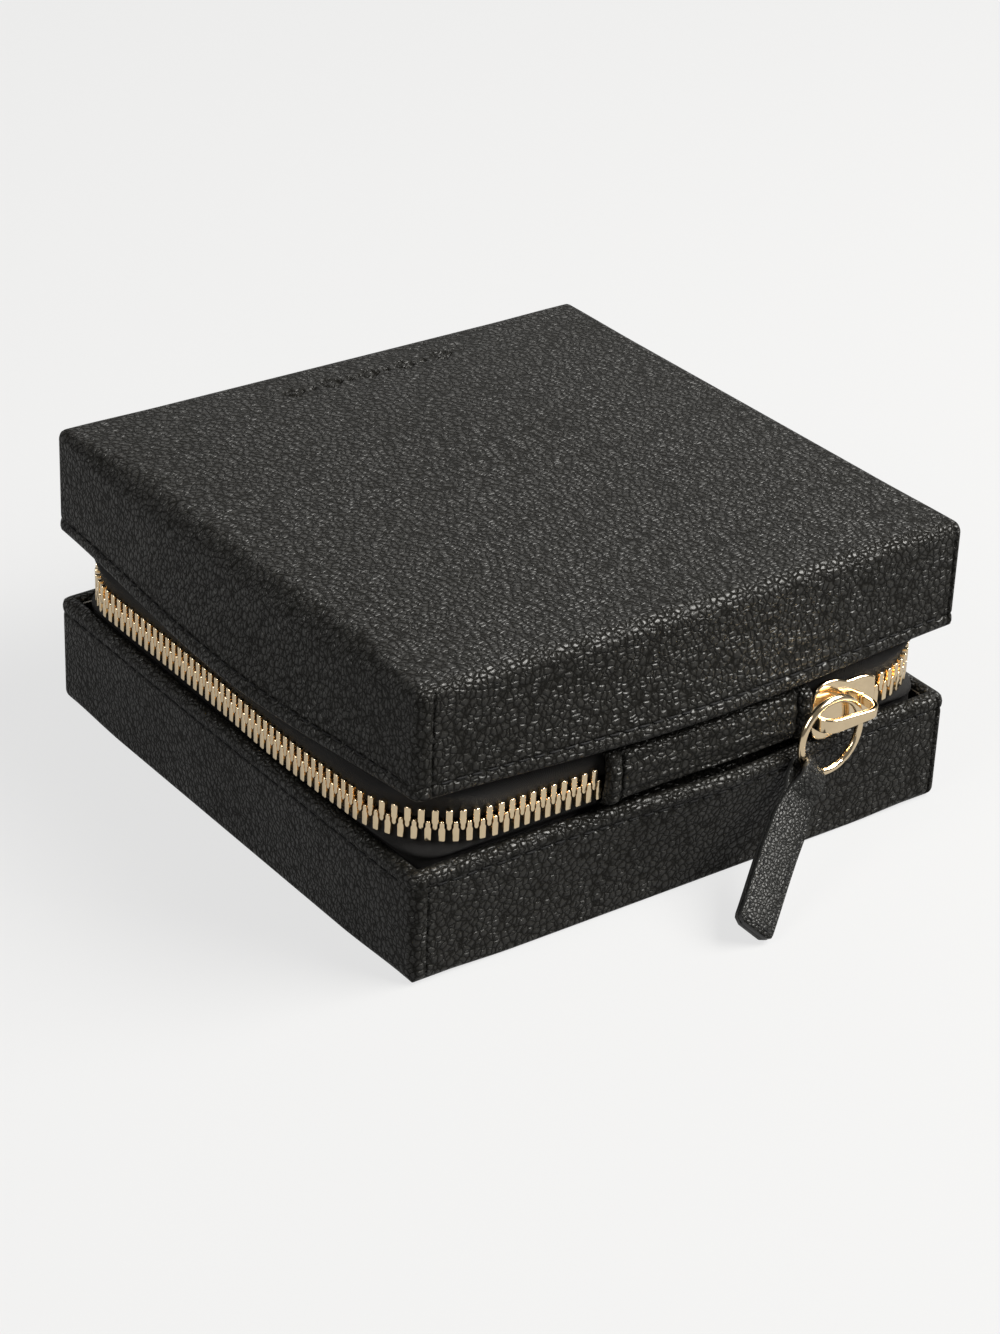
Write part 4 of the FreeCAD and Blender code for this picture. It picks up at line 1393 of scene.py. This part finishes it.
def snap_strap(place):
    """One necklace strap, round at its free end, with its snap cap."""
    node = "necklace_strap_" + place
    low, high = span(node)
    lengths = np.linspace(high[1], low[1], 40)
    half = (high[0] - low[0]) / 2
    tip = np.clip(lengths - low[1], 0, half)
    rounding = np.sqrt(np.clip(half**2 - (half - tip) ** 2, 0.02, None))
    widths = np.where(tip < half, rounding, half)
    soft = 0.35
    base = rounded_section(1.0, high[2] - low[2] - 0.02, 0.3, 3)
    edge = np.sign(base[:, 0])
    sections = np.repeat(base[None], len(lengths), 0)
    core = edge * np.maximum(widths[:, None] - soft, 0.1)
    sections[:, :, 0] = core + (base[:, 0] - edge * 0.5) + edge * soft
    across, level = (low[0] + high[0]) / 2, (low[2] + high[2]) / 2
    path = np.stack([np.full_like(lengths, across), lengths, np.full_like(lengths, level)], 1)
    points, faces = sweep(path, X, Z, sections)
    body = "strap_" + place
    piece(node + "_leather", points, faces, body, SMOOTH_LEATHER, "leather", [node])
    cap = domed_cap(*span("snap_cap_" + place))
    piece(f"snap_cap_{place}_dome", *cap, body, GOLD, "snap_metal", ["snap_cap_" + place])


def domed_cap(low, high):
    """Turned cap: a shallow dome with a rolled rim, facing down, and its shank."""
    centre = (low + high) / 2
    face = low[2] + 1.0
    dome = [(0.001, -0.95), (0.8, -0.93), (1.5, -0.82), (2.0, -0.66), (2.2, -0.6), (2.35, -0.62)]
    rim = [(2.55, -0.6), (2.7, -0.42), (2.72, -0.2), (2.65, -0.02)]
    shank = [(1.1, 0.0), (1.1, 1.05), (0.001, 1.05)]
    line = dome + rim + shank
    scale = (high[0] - low[0]) / 2 / 2.75
    turns = 40
    points = []
    for r, z in line:
        for k in range(turns):
            a = 2 * math.pi * k / turns
            x, y = r * scale * math.cos(a), r * scale * math.sin(a)
            points.append((centre[0] + x, centre[1] + y, face + z))
    return points, grid_faces(len(line), turns, wrap=True)


def inside():
    """Linings and everything they hold, in the base and in the lid."""
    lining_tub("base")
    lining_tub("lid")
    dividers()
    ring_rolls()
    lid_pad()
    lid_pocket()
    strap_leather()


# ---------------------------------------------------------------- boards, foam and kept CAD nodes


def padding():
    """Foam under the lid's top leather, its edges cut back under the soft roll."""
    low, high = span("lid_padding")
    trim = np.array([1.8, 1.8, 0.02])
    points, faces = soft_block(low + trim, high - trim, 0.6, puff=0.2, cell=4.0)
    piece("lid_foam", points, faces, "lid", FOAM, "foam", ["lid_padding"])


def dress(nodes, material_used):
    """Gives a kept CAD node its procedural material."""
    for name in nodes:
        data = frame["nodes"][name].data
        data.materials.clear()
        data.materials.append(material_used)


def wall_boards():
    """Grey boards inside the walls, bowed as the leather over them is."""
    for part, shell in (("base", BASE_SHELL), ("lid", LID_SHELL)):
        for side in ("hinge", "front", "left", "right"):
            node = f"{part}_board_{side}"
            low, high = span(node)
            points, faces = soft_block(low + 0.02, high - 0.02, 0.3, cell=4.0)
            piece(node + "_bowed", bow(shell, points), faces, part, BOARD, "greyboard", [node])


def hidden_layers():
    """Boards and foam under the leather, and the metal parts that keep their CAD shape."""
    wall_boards()
    dress(["base_floor_board", "lid_top_board"], BOARD)
    padding()
    dress(["zip_top_stop_upper", "zip_top_stop_lower", "zip_bottom_stop", "snap_studs"], GOLD)


# ---------------------------------------------------------------- stage, light and camera


FLOOR_REACH = 3.0
WALL_PLACE, WALL_TOP, WALL_BEND = 1.6, 2.0, 0.6  # the paper turns up into a wall behind the case

CAMERA_AZIMUTH, CAMERA_ELEVATION, CAMERA_ROLL = -36.888, 28.798, 2.366
CAMERA_DISTANCE = 0.63816
CAMERA_TARGET = (-0.006876, -0.010812, 0.024)
CAMERA_LENS = 92.86

WORLD_LIGHT = 0.14
LAMP_TINT = (1.0, 0.985, 0.94)
LAMP_TARGET = (0, 0, 0.03)
# Name, place, size in metres and power in watts of each lamp.
SOFTBOXES = (
    ("overhead", (0.60, 0.80, 0.58), (0.9, 0.7), 1.0),
    ("edge", (0.58, -0.46, 0.78), (0.8, 0.65), 46),
    ("left", (-0.85, -0.15, 0.70), (0.5, 0.5), 8),
)


def placed(name, data):
    """A new object in the scene for a mesh, lamp or camera."""
    obj = bpy.data.objects.new(name, data)
    bpy.context.scene.collection.objects.link(obj)
    return obj


def floor():
    """Seamless paper: flat under the case, bent up into a wall behind it."""
    bend = WALL_PLACE - WALL_BEND
    rows = [(-FLOOR_REACH, 0.0), (bend, 0.0)]
    for k in range(1, 9):
        a = k / 8 * math.pi / 2
        rows.append((bend + WALL_BEND * math.sin(a), WALL_BEND * (1 - math.cos(a))))
    rows.append((WALL_PLACE, WALL_TOP))
    points = [(x, y, z) for y, z in rows for x in (-FLOOR_REACH, FLOOR_REACH)]
    mesh = bpy.data.meshes.new("floor")
    mesh.from_pydata(points, [], grid_faces(len(rows), 2))
    mesh.polygons.foreach_set("use_smooth", [True] * len(mesh.polygons))
    mesh.materials.append(floor_paper("floor_paper"))
    placed("floor", mesh)


def softbox(name, place, size, watts):
    """A rectangular lamp that faces the case."""
    data = bpy.data.lights.new(name, "AREA")
    data.shape = "RECTANGLE"
    data.size, data.size_y = size
    data.energy = watts
    data.color = LAMP_TINT
    lamp = placed(name, data)
    lamp.location = place
    lamp.rotation_euler = (Vector(LAMP_TARGET) - Vector(place)).to_track_quat("-Z", "Y").to_euler()


def camera():
    """A long lens that looks down on the case from its left."""
    data = bpy.data.cameras.new("camera")
    data.lens = CAMERA_LENS
    data.sensor_width = 36.0
    data.clip_start, data.clip_end = 0.01, 20.0
    a, e = math.radians(CAMERA_AZIMUTH), math.radians(CAMERA_ELEVATION)
    back = Vector((math.sin(a) * math.cos(e), -math.cos(a) * math.cos(e), math.sin(e)))
    aim = (-back).to_track_quat("-Z", "Y").to_matrix()
    roll = Matrix.Rotation(math.radians(CAMERA_ROLL), 3, "Z")
    obj = placed("camera", data)
    obj.location = Vector(CAMERA_TARGET) + back * CAMERA_DISTANCE
    obj.rotation_euler = (aim @ roll).to_euler()
    bpy.context.scene.camera = obj


def stage():
    """Floor, camera, an even white surround and the lamps."""
    floor()
    camera()
    world = bpy.data.worlds.new("studio")
    world.use_nodes = True
    background = world.node_tree.nodes["Background"]
    background.inputs["Color"].default_value = (1, 1, 1, 1)
    background.inputs["Strength"].default_value = WORLD_LIGHT
    bpy.context.scene.world = world
    bpy.context.scene.view_settings.view_transform = "Standard"
    for lamp in SOFTBOXES:
        softbox(*lamp)


leather_covers()
zip_tape("upper_tape", 1, "lid", ["zip_tape_upper"])
zip_tape("lower_tape", -1, "base", ["zip_tape_lower"])
zip_teeth()
slider()
pull_ring()
pull_tab()
hinge_panel()
inside()
hidden_layers()
stage()
